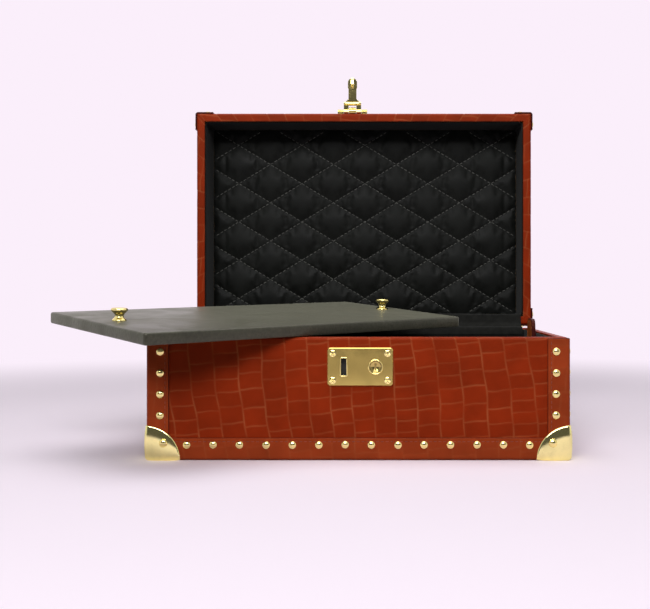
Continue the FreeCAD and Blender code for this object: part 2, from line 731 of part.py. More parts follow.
def handle_grip():
    """Rolled leather grip: two legs with rounded ends and a long bar joined by round bends."""
    leg = GRIP_LEG_X
    turn = GRIP_BEND * (1 - math.sqrt(0.5))
    spots = [
        Vector(-leg, -GRIP_R, HANDLE_Z), Vector(-leg, GRIP_REACH - GRIP_BEND, HANDLE_Z),
        Vector(-leg + turn, GRIP_REACH - turn, HANDLE_Z), Vector(-leg + GRIP_BEND, GRIP_REACH, HANDLE_Z),
        Vector(leg - GRIP_BEND, GRIP_REACH, HANDLE_Z), Vector(leg - turn, GRIP_REACH - turn, HANDLE_Z),
        Vector(leg, GRIP_REACH - GRIP_BEND, HANDLE_Z), Vector(leg, -GRIP_R, HANDLE_Z),
    ]
    path = Part.Wire([
        Part.LineSegment(spots[0], spots[1]).toShape(),
        Part.Arc(spots[1], spots[2], spots[3]).toShape(),
        Part.LineSegment(spots[3], spots[4]).toShape(),
        Part.Arc(spots[4], spots[5], spots[6]).toShape(),
        Part.LineSegment(spots[6], spots[7]).toShape(),
    ])
    corners = ring_points(spots[0], Vector(0, 1, 0), GRIP_R, GRIP_SIDES)
    tube = path.makePipeShell([Part.makePolygon(corners + corners[:1])], True, False)
    wide = leg + GRIP_BEND
    eye = ring_points(Vector(-wide, 0, HANDLE_Z), Vector(1, 0, 0), GRIP_R, GRIP_SIDES)
    eyes = prism(eye, Vector(2 * wide, 0, 0))
    behind = block(-wide, wide, -GRIP_BEND, 0, HANDLE_Z - GRIP_BEND, HANDLE_Z + GRIP_BEND)
    return tube.cut([behind.cut(eyes), handle_pin(-1), handle_pin(1)])


# Loose cover panel

def laid(shape):
    """Lays a piece of the panel in place: its corner, its long edge and its short edge."""
    yaw = math.radians(PANEL_YAW)
    along = Vector(math.cos(yaw), math.sin(yaw), PANEL_RISE_LONG).normalize()
    across = Vector(-math.sin(yaw), math.cos(yaw), PANEL_RISE_SHORT)
    across = (across - along * along.dot(across)).normalize()
    lying = Placement(PANEL_CORNER, Rotation(along, across, along.cross(across), "XYZ"))
    moved = shape.copy()
    moved.Placement = lying.multiply(moved.Placement)
    return moved


def cover_panel():
    """Board wrapped in suede, its top face at zero before it is laid in place."""
    panel = block(0, PANEL_L, 0, PANEL_S, -PANEL_T, 0)
    panel = panel.makeFillet(PANEL_R, [edge for edge in panel.Edges if edge.BoundBox.ZLength > PANEL_R])
    flat = [edge for edge in panel.Edges if edge.BoundBox.ZLength < PANEL_R]
    return laid(panel.makeChamfer(PANEL_EASE, flat))


def panel_knob(along):
    """Waisted turned knob standing on the panel's long centre line."""
    profile = [
        (KNOB_BASE_R, 0), (KNOB_BASE_R, KNOB_FOOT), (KNOB_NECK_R, KNOB_NECK), (KNOB_WAIST_R, KNOB_WAIST),
        (KNOB_LIP_R, KNOB_LIP), (KNOB_TOP_R, KNOB_RIM), (KNOB_FACE_R, KNOB_H),
    ]
    up = Vector(0, 0, 1)
    middle = Vector(along, PANEL_S / 2, 0)
    tiers = []
    for (low_r, low), (high_r, high) in zip(profile, profile[1:]):
        tiers.append(stud(middle + up * low, up, low_r, high_r, high - low, KNOB_SIDES))
    return laid(fuse(tiers))


def make_base():
    """All pieces that stand still."""
    screws = lock_screws()
    boards = box_boards(BASE_H)
    leathers = box_leathers(BASE_H)
    boards["front"] = boards["front"].cut([lock_pocket()] + screws)
    leathers["front"] = leathers["front"].cut([lock_pocket()] + screws)
    caps = box_caps()
    posts, sills = box_bands(BASE_H, caps)
    hinge_xs = (-HINGE_X, HINGE_X)
    leaf_fixings = [fixing for x in hinge_xs for fixing in leaf_screws(x, -1)]
    boards["back"] = boards["back"].cut(leaf_fixings)
    leathers["back"] = leathers["back"].cut(leaf_fixings)
    leathers["floor"] = leathers["floor"].cut(list(caps.values()))
    for side in SIDES + ("floor",):
        PARTS["base_" + side + "_board"] = boards[side]
        PARTS["base_" + side + "_leather"] = leathers[side]
    for name, cap in caps.items():
        PARTS["base_brass_corner_" + name] = cap
    PARTS["base_corner_bands"] = posts
    PARTS["base_bottom_bands"] = sills
    PARTS["base_nails"] = box_nails(BASE_POST_NAILS)
    PARTS["base_wall_lining"] = box_lining(BASE_H, FLOOR_TOP)
    PARTS["base_floor_lining"] = slab(ROOM_X, ROOM_Y, FLOOR_TOP, FLOOR_TOP + LINING_T)
    PARTS["base_panel_ledges"] = ledges()
    PARTS["lid_guide_tabs"] = grouped([guide_tab(-1), guide_tab(1)])
    PARTS["lock_plate"] = lock_plate(screws)
    PARTS["lock_case"] = lock_case()
    PARTS["lock_screws"] = grouped(screws)
    leaves = []
    pins = []
    for x in hinge_xs:
        leaves.append(fuse([hinge_leaf(x, knuckle_spans(x)[0], -1), stop_lug(x)]).cut(leaf_screws(x, -1)))
        half = Vector(HINGE_W / 2, 0, 0)
        middle = Vector(x, HINGE_Y, HINGE_Z)
        pins.append(rod(middle - half, middle + half, HINGE_PIN_R))
    PARTS["hinge_base_leaves"] = grouped(leaves)
    PARTS["hinge_pins"] = grouped(pins)
    PARTS["hinge_base_screws"] = grouped(leaf_fixings)
    PARTS["hinge_gusset"] = hinge_gusset()
    PARTS["lock_cylinder"] = lock_cylinder()
    PARTS["lock_bolt"] = lock_bolt()


def make_lid():
    """All pieces that swing with the lid, and the hasp and handle on it."""
    boards = box_boards(LID_H)
    leathers = box_leathers(LID_H)
    caps = box_caps()
    posts, sills = box_bands(LID_H, caps)
    leathers["floor"] = leathers["floor"].cut(list(caps.values()))
    hinge_xs = (-HINGE_X, HINGE_X)
    leaf_fixings = [fixing for x in hinge_xs for fixing in leaf_screws(x, 1)]
    fixings = grouped([opened(fixing) for fixing in leaf_fixings])
    foot_fixings = grouped([opened(fixing) for fixing in hasp_screws()])
    for side in SIDES + ("floor",):
        name = "lid_" + side.replace("floor", "top")
        PARTS[name + "_board"] = as_lid(boards[side])
        PARTS[name + "_leather"] = as_lid(leathers[side])
    for layer in ("board", "leather"):
        PARTS["lid_back_" + layer] = PARTS["lid_back_" + layer].cut(fixings)
        PARTS["lid_front_" + layer] = PARTS["lid_front_" + layer].cut(foot_fixings)
    for name, cap in caps.items():
        PARTS["lid_brass_corner_" + name] = as_lid(cap)
    PARTS["lid_corner_bands"] = as_lid(posts)
    PARTS["lid_top_bands"] = as_lid(sills)
    PARTS["lid_nails"] = as_lid(box_nails(LID_POST_NAILS))
    PARTS["lid_wall_lining"] = as_lid(box_lining(LID_H, FLOOR_TOP))
    PARTS["lid_quilted_pad"] = as_lid(quilted_pad())
    leaves = [hinge_leaf(x, knuckle_spans(x)[1], 1).cut(leaf_screws(x, 1)) for x in hinge_xs]
    PARTS["hinge_lid_leaves"] = opened(grouped(leaves))
    PARTS["hinge_lid_screws"] = fixings
    axis = Vector(SLOT_X, HASP_Y, HASP_Z)
    half = Vector(HASP_LUG[1], 0, 0)
    PARTS["hasp_plate"] = opened(hasp_plate().cut(hasp_screws()))
    PARTS["hasp_pin"] = opened(rod(axis - half, axis + half, HASP_PIN_R))
    PARTS["hasp_screws"] = foot_fixings
    hanging = hasp_tongue()
    hanging.rotate(axis, Vector(1, 0, 0), -90)
    PARTS["hasp_tongue"] = opened(hanging)
    PARTS["handle_mounts"] = opened(grouped([handle_mount(-1), handle_mount(1)]))
    PARTS["handle_pins"] = opened(grouped([handle_pin(-1), handle_pin(1)]))
    PARTS["handle_grip"] = opened(handle_grip())


def make_panel():
    """The loose panel and its two knobs."""
    PARTS["cover_panel"] = cover_panel()
    PARTS["panel_knobs"] = grouped([panel_knob(KNOB_END), panel_knob(PANEL_L - KNOB_END)])


make_base()
make_lid()
make_panel()
os.makedirs("parts", exist_ok=True)
for node, shape in PARTS.items():
    shape.exportStep("parts/" + node + ".step")
print(len(PARTS), "nodes")
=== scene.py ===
import math

import bmesh
import bpy
import numpy as np
from bpy.props import FloatProperty, FloatVectorProperty, IntProperty, PointerProperty
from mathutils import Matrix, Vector


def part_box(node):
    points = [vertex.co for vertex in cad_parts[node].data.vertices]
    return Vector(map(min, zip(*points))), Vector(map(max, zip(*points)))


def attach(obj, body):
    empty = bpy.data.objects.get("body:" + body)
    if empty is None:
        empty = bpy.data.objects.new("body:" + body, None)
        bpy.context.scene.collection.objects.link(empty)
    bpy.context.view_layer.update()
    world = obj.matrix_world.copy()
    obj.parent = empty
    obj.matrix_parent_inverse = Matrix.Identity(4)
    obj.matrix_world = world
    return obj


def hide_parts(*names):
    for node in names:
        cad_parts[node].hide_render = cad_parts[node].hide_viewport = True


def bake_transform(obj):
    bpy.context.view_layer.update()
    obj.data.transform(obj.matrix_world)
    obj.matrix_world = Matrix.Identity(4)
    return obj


bl_info = {
    "name": "Leather train case",
    "version": (1, 0, 0),
    "blender": (4, 5, 0),
    "location": "View3D > Sidebar > Train case",
    "description": "Dresses the packed train case in leather, brass and linings, and sets up its stage",
    "category": "Object",
}

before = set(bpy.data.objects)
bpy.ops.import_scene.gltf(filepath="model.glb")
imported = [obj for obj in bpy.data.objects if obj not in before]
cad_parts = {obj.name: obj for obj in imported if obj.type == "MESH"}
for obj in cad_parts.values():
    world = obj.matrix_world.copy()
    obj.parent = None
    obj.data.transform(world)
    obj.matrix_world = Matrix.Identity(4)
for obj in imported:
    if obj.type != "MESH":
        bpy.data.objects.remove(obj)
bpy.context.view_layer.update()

MM = 0.001
# The cloth solver works best on sheets of about a metre, so the pad is swollen at this scale
CLOTH_SCALE = 5.0
CLOTH_FRAMES = 24
CLOTH_SETTINGS = {
    "quality": 7, "mass": 0.2,
    "tension_stiffness": 20, "compression_stiffness": 8, "shear_stiffness": 8, "bending_stiffness": 6,
    "air_damping": 4, "shrink_min": -0.012,
    "use_pressure": True, "uniform_pressure_force": 6, "vertex_group_mass": "sewn",
}
# Seeds of the scales: walls of the base and the lid, flat panels, upright bands, bands along the foot
WALL_SEEDS, FLAT_SEED, POST_SEED, SILL_SEED = (0, 4), 11, 21, 23
# Angles in degrees above which an edge stays sharp: most pieces, pressed brass, the pad
SHARP, SHARP_BRASS, SHARP_PAD = 38, 60, 70
# Lock: radius of the plug, plate's face above its foot, keyhole, staple slot, screws from the middle
PLUG_R, PLATE_FACE = 4.5 * MM, 0.7 * MM
KEYHOLE_X, KEYHOLE_Z, KEYHOLE_PROUD, KEYHOLE_DEPTH = 0.75 * MM, 2.6 * MM, MM, 1.9 * MM
SLOT_AT = (-11.0 * MM, 70.6 * MM)
SLOT_HALF = (1.95 * MM, 6.5 * MM)
LOCK_SCREW_X = 20.7 * MM
# Thickness of the packing strip between a tab and the wall
TAB_PACKING = 0.4 * MM
# Screws of the hinges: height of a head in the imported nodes
LEAF_SCREW_H = 0.7 * MM
# Photograph's frame in pixels: its size, focal length and centre of projection; the camera's place
IMAGE_W, IMAGE_H = 650, 609
FOCAL_PX = 1057
CENTRE_PX = (386, 290)
CAMERA_AT = (0.0209, -0.8983, 0.1286)
SENSOR_W = 36
# Soft lights: name, place, point they face, width, height and power
SOFTBOXES = (
    ("front_softbox", (-0.1, -1.95, 1.15), (0, 0, 0.12), 1.4, 0.6, 31),
    ("top_softbox", (0, -0.1, 1.95), (0, 0, 0.1), 1.8, 1.8, 23),
)
# Strength of the even light of the room, and of the side walls that mirrors see
ROOM_LEVEL, ROOM_WALLS = 0.09, 0.8


def span(node):
    """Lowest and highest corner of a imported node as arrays, in metres."""
    low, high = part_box(node)
    return np.array(low), np.array(high)


# Sizes read from the frame. A box here has its floor at zero and its rim on top.
WALL_LOW, WALL_HIGH = span("base_front_leather")
FOOT_HIGH = span("base_bottom_bands")[1]
CAP_HIGH = span("base_brass_corner_front_right")[1]
LID_FOOT_LOW, LID_FOOT_HIGH = span("lid_top_bands")
BOX_X = WALL_HIGH[0]
BOX_Y = -WALL_LOW[1]
BASE_H = WALL_HIGH[2]
WALL_T = WALL_HIGH[1] - WALL_LOW[1]
FOOT_Z = WALL_LOW[2]
BAND_X = FOOT_HIGH[0]
BAND_Y = FOOT_HIGH[1]
BAND_T = BAND_X - BOX_X
BAND_W = FOOT_HIGH[2]
BRASS_T = CAP_HIGH[0] - BAND_X
CAP_REACH = CAP_HIGH[2]
LID_TOP_Y = LID_FOOT_HIGH[1]
LID_MID_Z = (LID_FOOT_LOW[2] + LID_FOOT_HIGH[2]) / 2
LID_RIM_Y = span("lid_front_leather")[0][1]
LID_H = LID_TOP_Y - LID_RIM_Y
PAD_LOW, PAD_HIGH = span("lid_quilted_pad")
PAD_X, PAD_BACK, PAD_Z = PAD_HIGH[0], PAD_HIGH[1], (PAD_HIGH[2] - PAD_LOW[2]) / 2


def linear(code):
    """An sRGB hex colour as linear red, green, blue and alpha."""
    channels = [int(code[i:i + 2], 16) / 255 for i in (1, 3, 5)]
    return tuple(c / 12.92 if c <= 0.04045 else ((c + 0.055) / 1.055) ** 2.4 for c in channels) + (1.0,)


def length(name, value, text):
    """A length property with its default in millimetres."""
    return FloatProperty(name=name, description=text, default=value * MM, unit="LENGTH", precision=5)


def colour(name, code, text):
    """A colour property with its default as an sRGB hex value."""
    return FloatVectorProperty(name=name, description=text, default=linear(code), subtype="COLOR",
                               size=4, min=0, max=1)


class CaseSizes(bpy.types.PropertyGroup):
    """Sizes of the dressed pieces that the frame doesn't give."""

    mesh_pitch: length("Mesh pitch", 0.65, "Spacing of the grid on embossed leather")
    band_pitch: length("Band pitch", 0.9, "Spacing of the grid on the bands")
    leather_t: length("Leather", 1.3, "Thickness of the wall leather")
    rim_r: length("Rim radius", 2.2, "Roll of the leather over the rim")
    scale_w: length("Scale width", 17.0, "Width of a column of embossed scales")
    scale_h: length("Scale height", 11.5, "Height of an embossed scale")
    scale_groove: length("Groove", 0.55, "Half width of the grooves between scales")
    scale_depth: length("Emboss depth", 0.22, "Depth of the grooves between scales")
    band_foot: length("Band foot", 13.5, "Width of the bottom bands under the case")
    band_r: length("Band corner", 2.6, "Radius of the bands over an edge")
    band_edge: length("Band edge", 0.55, "Rounding of the bands' cut edges")
    crease_at: length("Crease", 2.7, "Distance of the sewn crease from a band's edge")
    stitch_pitch: length("Stitch pitch", 3.6, "Spacing of the stitches on leather")
    nail_r: length("Nail radius", 3.2, "Radius of a domed nail")
    nail_h: length("Nail height", 1.8, "Height of a domed nail")
    cap_r: length("Cap edge", 2.6, "Rounding of the edges of a brass corner cap")
    cap_crown: length("Cap crown", 0.8, "Crown of the faces of a brass corner cap")
    quilt_w: length("Quilt width", 62.4, "Width of a quilted diamond")
    quilt_h: length("Quilt height", 37.9, "Height of a quilted diamond")
    quilt_puff: length("Quilt puff", 4.0, "Swell of a quilted diamond")
    quilt_sunk: length("Quilt seam", 2.0, "Thickness of the pad along its sewn lines")
    quilt_cells: IntProperty(name="Quilt mesh", description="Mesh steps across half a diamond", default=12)
    quilt_stitch: length("Quilt stitch", 4.4, "Spacing of the stitches on the quilting")
    quilt_thread: length("Quilt thread", 0.4, "Radius of a stitch on the quilting")
    cloth_t: length("Lining", 1.0, "Thickness of the wall lining")
    cloth_corner: length("Lining corner", 3.5, "Radius of the lining in an inner corner")
    gusset_t: length("Gusset", 0.7, "Thickness of the gusset cloth")
    gusset_fold: length("Gusset fold", 0.8, "Rounding of the gusset over an edge")
    tab_r: length("Tab corner", 7.0, "Radius of the top corners of a leather tab")
    tab_t: length("Tab", 3.2, "Thickness of a leather tab")
    hinge_x: length("Hinge place", 92.0, "Distance of a hinge from the middle")
    leaf_screw_x: length("Leaf screw", 14.0, "Distance of a leaf screw from the hinge's middle")
    leaf_screw_drop: length("Leaf screw drop", 12.6, "Distance of a leaf screw from the hinge axis")
    screw_r: length("Screw head", 2.6, "Radius of a screw head")
    screw_h: length("Screw height", 0.5, "Height of a screw head")
    grip_r: length("Grip radius", 6.0, "Radius of the rolled leather grip")
    grip_leg_x: length("Grip leg", 54.0, "Distance of the grip's legs from the middle")
    grip_bend: length("Grip bend", 16.0, "Radius of the grip's bends")
    panel_l: length("Panel length", 297.0, "Long side of the cover panel")
    panel_s: length("Panel width", 160.0, "Short side of the cover panel")
    panel_t: length("Panel thickness", 8.8, "Thickness of the cover panel")
    panel_r: length("Panel corner", 2.6, "Radius of the cover panel's corners")
    panel_ease: length("Panel edge", 1.5, "Rounding of the cover panel's edges")
    panel_yaw: FloatProperty(name="Panel yaw", description="Turn of the cover panel on the base",
                             default=math.radians(40.1), subtype="ANGLE", unit="ROTATION")
    panel_rise_long: FloatProperty(name="Panel rise", description="Rise along the long side", default=0.0212)
    panel_rise_short: FloatProperty(name="Panel tilt", description="Rise along the short side", default=0.074)
    knob_end: length("Knob place", 20.5, "Distance of a knob from the panel's end")


class CaseColours(bpy.types.PropertyGroup):
    """Colours of the finishes."""

    leather: colour("Leather", "#8A280B", "Body of the embossed scales")
    # A paler colour laid in the grooves between scales, as strongly as the groove attribute says
    groove: colour("Groove", "#A2502E", "Rubbed dye in the grooves between scales")
    band: colour("Band", "#983A1B", "Leather of the bands along the edges")
    paint: colour("Edge paint", "#3A1012", "Paint on cut leather edges")
    brass: colour("Brass", "#FCE99C", "Polished yellow brass")
    plug: colour("Plug", "#C9B26C", "Dull brass of the key plug")
    cap: colour("Corner cap", "#FFF3A8", "Brass of the corner caps")
    plate: colour("Lock plate", "#D8C06C", "Brass of the lock plate")
    # Painted shade: the lining is the gusset's twill made darker, standing in for the shade inside the base
    # and the lid
    lining: colour("Lining", "#0F0F0E", "Black lining cloth")
    gusset: colour("Gusset", "#171715", "Twill over the hinge line")
    satin: colour("Quilt", "#0F100E", "Black quilted cloth")
    thread: colour("Thread", "#4E4E48", "Grey quilting thread")
    suede: colour("Suede", "#35332A", "Suede on the cover panel")
    # The guide tabs' leather, paler than the walls' calf
    tab: colour("Tab", "#B4591F", "Natural leather of the guide tabs")
    board: colour("Board", "#B08D62", "Plywood of the walls")
    steel: colour("Steel", "#4A4947", "Pressed steel of the lock")
    paper: colour("Paper", "#FBEFFB", "Seamless paper of the stage")


# Arrays and meshes

class Shape:
    """Points with quads, end caps and values for each point, before they become a mesh."""

    def __init__(self, points, quads, caps=(), values=None):
        self.points = np.asarray(points, float).reshape(-1, 3)
        self.quads = np.asarray(quads, int).reshape(-1, 4)
        self.caps = [np.asarray(cap, int) for cap in caps]
        self.values = {key: np.asarray(v, float).ravel() for key, v in (values or {}).items()}

    def moved(self, move):
        """The same shape with its points put through a function."""
        return Shape(move(self.points), self.quads, self.caps, self.values)


def joined(shapes):
    """Several shapes as one."""
    starts = np.cumsum([0] + [len(s.points) for s in shapes])
    return Shape(
        np.concatenate([s.points for s in shapes]),
        np.concatenate([s.quads + start for s, start in zip(shapes, starts)]),
        [cap + start for s, start in zip(shapes, starts) for cap in s.caps],
        {key: np.concatenate([s.values[key] for s in shapes]) for key in shapes[0].values},
    )


def grid_quads(rows, cols, round_rows=False, round_cols=True):
    """Quads of a grid, which may close on itself along either side."""
    r, c = np.meshgrid(np.arange(rows if round_rows else rows - 1),
                       np.arange(cols if round_cols else cols - 1), indexing="ij")
    r1, c1 = (r + 1) % rows, (c + 1) % cols
    return np.stack([r * cols + c, r * cols + c1, r1 * cols + c1, r1 * cols + c], -1).reshape(-1, 4)


def tube(rings, values=None):
    """Closed loops of points one after another, with a cap on each end."""
    rows, cols = rings.shape[:2]
    caps = [np.arange(cols)[::-1], (rows - 1) * cols + np.arange(cols)]
    return Shape(rings, grid_quads(rows, cols), caps, values)


def swept_volume(shape):
    """Signed volume of a closed shape, from the tetrahedra under its faces."""
    p = shape.points - shape.points.mean(0)
    triangles = [shape.quads[:, [0, 1, 2]], shape.quads[:, [0, 2, 3]]]
    for cap in shape.caps:
        fan = np.stack([np.full(len(cap) - 2, cap[0]), cap[1:-1], cap[2:]], -1)
        triangles.append(fan)
    t = np.concatenate(triangles)
    return np.einsum("ij,ij->i", p[t[:, 0]], np.cross(p[t[:, 1]], p[t[:, 2]])).sum()


def mesh_of(name, shape, sharp=SHARP):
    """A smooth mesh from a closed shape, turned outwards, with edges kept above an angle."""
    quads, caps = shape.quads, shape.caps
    if swept_volume(shape) < 0:
        quads, caps = quads[:, ::-1], [cap[::-1] for cap in caps]
    sizes = np.array([4] * len(quads) + [len(cap) for cap in caps])
    corners = np.concatenate([quads.ravel()] + caps)
    mesh = bpy.data.meshes.new(name)
    mesh.vertices.add(len(shape.points))
    mesh.vertices.foreach_set("co", shape.points.astype(np.float32).ravel())
    mesh.loops.add(len(corners))
    mesh.loops.foreach_set("vertex_index", corners.astype(np.int32))
    mesh.polygons.add(len(sizes))
    mesh.polygons.foreach_set("loop_start", (np.cumsum(sizes) - sizes).astype(np.int32))
    mesh.polygons.foreach_set("use_smooth", np.ones(len(sizes), bool))
    mesh.update(calc_edges=True)
    mesh.validate()
    mesh.set_sharp_from_angle(angle=math.radians(sharp))
    for key, array in shape.values.items():
        mesh.attributes.new(key, "FLOAT", "POINT").data.foreach_set("value", array.astype(np.float32))
    return mesh


def build(name, body, material, shape, replaces=(), sharp=SHARP):
    """Makes a shape a piece of the case."""
    return place(name, mesh_of(name, shape, sharp), body, material, replaces)


def place(name, mesh, body, material, replaces=()):
    """Puts a finished mesh in the scene as a piece of the case."""
    mesh.materials.clear()
    mesh.materials.append(material)
    piece = bpy.data.objects.new(name, mesh)
    bpy.context.scene.collection.objects.link(piece)
    if body:
        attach(piece, body)
    if replaces:
        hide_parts(*replaces)
    return piece


def drilled(mesh, low, high):
    """The mesh less a block between two corners."""
    low, high = np.asarray(low), np.asarray(high)
    middle, half = (low + high) / 2, (high - low) / 2
    ring = np.array([(-1, -1), (1, -1), (1, 1), (-1, 1)])
    rings = np.stack([np.c_[ring * half[:2] + middle[:2], np.full(4, z)] for z in (low[2], high[2])])
    cutter = bpy.data.objects.new("cutter", mesh_of("cutter", tube(rings)))
    uncut = bpy.data.objects.new("uncut", mesh)
    for thing in (cutter, uncut):
        bpy.context.scene.collection.objects.link(thing)
    hole = uncut.modifiers.new("hole", "BOOLEAN")
    hole.operation = "DIFFERENCE"
    hole.object = cutter
    graph = bpy.context.evaluated_depsgraph_get()
    cut = bpy.data.meshes.new_from_object(uncut.evaluated_get(graph), depsgraph=graph)
    for thing in (cutter, uncut):
        bpy.data.objects.remove(thing)
    return cut


def eased_copy(node, body, material, ease=0.25):
    """A merged copy of a packed brass node, with its sharp edges eased by a bevel in millimetres."""
    name = node + "_eased"
    merge_gap, flat_angle, edge_angle = 0.002 * MM, math.radians(1), math.radians(30)
    work = bmesh.new()
    work.from_mesh(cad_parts[node].data)
    bmesh.ops.remove_doubles(work, verts=work.verts, dist=merge_gap)
    bmesh.ops.dissolve_limit(work, angle_limit=flat_angle, verts=work.verts, edges=work.edges)
    mesh = bpy.data.meshes.new(name)
    work.to_mesh(mesh)
    work.free()
    mesh.polygons.foreach_set("use_smooth", np.ones(len(mesh.polygons), bool))
    piece = place(name, mesh, body, material, (node,))
    bevel = piece.modifiers.new("eased edges", "BEVEL")
    bevel.width = ease * MM
    bevel.segments = 2
    bevel.limit_method = "ANGLE"
    bevel.angle_limit = edge_angle
    evened = piece.modifiers.new("even shading", "WEIGHTED_NORMAL")
    evened.weight = 100
    return piece


def dress(material, *nodes):
    """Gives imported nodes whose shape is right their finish."""
    for node in nodes:
        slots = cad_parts[node].data.materials
        slots.clear()
        slots.append(material)


def turned(points, quarters):
    """Points turned about the vertical axis by quarter turns."""
    turn = quarters * math.pi / 2
    c, s = round(math.cos(turn)), round(math.sin(turn))
    return np.stack([c * points[..., 0] - s * points[..., 1], s * points[..., 0] + c * points[..., 1],
                     points[..., 2]], -1)


def onto_lid(points):
    """Carries a box with its floor at zero onto the open lid: floor to the back, front wall up."""
    return np.stack([points[..., 0], LID_TOP_Y - points[..., 2], LID_MID_Z - points[..., 1]], -1)


def on_part(shape, part):
    """A shape made as a box, left on the base or carried onto the lid."""
    return shape.moved(onto_lid) if part == "lid" else shape


def wall_reach(quarter, half_x, half_y):
    """Half the length of a wall and its distance from the middle, walls being numbered by quarter turns."""
    return (half_x, half_y) if quarter % 2 == 0 else (half_y, half_x)


def scatter(values, seed):
    """A fixed random number from 0 to 1 for each whole number."""
    waves = np.sin(values * 12.9898 + seed * 78.233) * 43758.5453
    return waves - np.floor(waves)


def tangents(normals):
    """Two directions across each normal."""
    helper = np.where(np.abs(normals[:, 2:3]) > 0.9, [[1.0, 0, 0]], [[0, 0, 1.0]])
    across = np.cross(helper, normals)
    across /= np.linalg.norm(across, axis=1, keepdims=True)
    return across, np.cross(normals, across)


def repeated(template, seats, normals, across=None):
    """Copies of a small shape, each stood on a seat with its height along a normal."""
    seats = np.asarray(seats, float)
    normals = np.asarray(normals, float)
    if across is None:
        across, along = tangents(normals)
    else:
        along = np.cross(normals, across)
    p = template.points
    points = (seats[:, None] + p[None, :, :1] * across[:, None] + p[None, :, 1:2] * along[:, None]
              + p[None, :, 2:] * normals[:, None])
    starts = (np.arange(len(seats)) * len(p))[:, None, None]
    return Shape(points, template.quads[None] + starts,
                 [cap + start for start in starts.ravel() for cap in template.caps])


def full_turn(sides):
    """Evenly spaced angles once round."""
    return np.linspace(0, 2 * math.pi, sides, endpoint=False)


def turned_profile(radii, heights, sides):
    """A profile of radii and heights turned round the vertical axis."""
    angle = full_turn(sides)
    radii, heights = np.asarray(radii)[:, None], np.asarray(heights)[:, None]
    return tube(np.stack([radii * np.cos(angle), radii * np.sin(angle), heights + 0 * angle], -1))


def sideways(path):
    """Unit directions across a path in a plane, to its left."""
    along = np.gradient(path, axis=0)
    along /= np.linalg.norm(along, axis=1, keepdims=True)
    return np.stack([-along[:, 1], along[:, 0]], -1)


def edge_turn(start, end, out, steps=3):
    """Quarter turn from one point to another, bulging towards out, without its end points."""
    a = np.linspace(0, math.pi / 2, steps + 2)[1:-1, None]
    centre = np.asarray(start) + np.asarray(end) - np.asarray(out)
    return centre + (np.asarray(start) - centre) * np.cos(a) + (np.asarray(end) - centre) * np.sin(a)


def straight(start, end, pitch):
    """Evenly spaced points from start to end, both included."""
    start, end = np.asarray(start, float), np.asarray(end, float)
    count = max(int(np.linalg.norm(end - start) / pitch), 1) + 1
    return start + np.linspace(0, 1, count)[:, None] * (end - start)


def rounded_loop(half_a, half_b, radii, steps=6):
    """Rectangle with rounded corners about the middle, counter-clockwise from the first quadrant."""
    a = np.linspace(0, math.pi / 2, steps)
    signs = ((1, 1), (-1, 1), (-1, -1), (1, -1))
    loop = []
    for turn, ((sa, sb), r) in enumerate(zip(signs, np.broadcast_to(radii, 4))):
        angle = a + turn * math.pi / 2
        along, across = sa * (half_a - r) + r * np.cos(angle), sb * (half_b - r) + r * np.sin(angle)
        loop.append(np.stack([along, across], -1))
    return np.concatenate(loop)


def cut_corners(points, rounds=2):
    """A profile whose corners are cut at a quarter of each side, again and again, till it is round."""
    points = np.asarray(points, float)
    for _ in range(rounds):
        inner = np.stack([0.75 * points[:-1] + 0.25 * points[1:], 0.25 * points[:-1] + 0.75 * points[1:]], 1)
        points = np.concatenate([points[:1], inner.reshape(-1, 2), points[-1:]])
    return points


def ring_profile(radii, heights, sides):
    """A closed profile of radii and heights turned round into a ring."""
    angle = full_turn(sides)[:, None]
    rings = np.stack([radii * np.cos(angle), radii * np.sin(angle), heights + 0 * angle], -1)
    return Shape(rings, grid_quads(*rings.shape[:2], round_rows=True))


def eased_slab(half_a, half_b, low, high, radii, ease, rim=0):
    """A slab with rounded corners and eased edges; its cut edge carries paint in to a rim."""
    least = 0.2 * MM
    a = np.linspace(0, math.pi / 2, 4)
    inset = np.concatenate([ease * (1 - np.sin(a)), ease * (1 - np.cos(a))])
    level = np.concatenate([low + ease * (1 - np.cos(a)), high - ease * (1 - np.sin(a))])
    paint = np.ones(len(level))
    if rim:
        inset = np.concatenate([[inset[0] + rim], inset, [inset[-1] + rim]])
        level = np.concatenate([[low], level, [high]])
        paint = np.concatenate([[0], paint, [0]])
    rings = []
    for step, z in zip(inset, level):
        corners = np.maximum(np.broadcast_to(radii, 4) - step, least)
        loop = rounded_loop(half_a - step, half_b - step, corners)
        rings.append(np.c_[loop, np.full(len(loop), z)])
    rings = np.stack(rings)
    flat = np.zeros(rings.shape[:2])
    return tube(rings, {"groove": flat, "tone": flat + 0.5, "paint": flat + paint[:, None]})


def eased_bar(low, high, ease):
    """A block between two corners with all edges eased."""
    low, high = np.asarray(low), np.asarray(high)
    middle, half = (low + high) / 2, (high - low) / 2
    bar = eased_slab(half[1], half[2], low[0], high[0], ease, ease)
    return bar.moved(lambda p: np.stack([p[:, 2], p[:, 0] + middle[1], p[:, 1] + middle[2]], -1))


def folded_path(points, cut):
    """A path with each corner cut short twice, so that cloth folds round it."""
    points = np.asarray(points, float)
    for share in (1, 0.35):
        path = [points[0]]
        for before, here, after in zip(points, points[1:], points[2:]):
            for other in (before, after):
                run = other - here
                path.append(here + run * min(cut * share / np.linalg.norm(run), 0.3))
        points = np.array(path + [points[-1]])
    return points


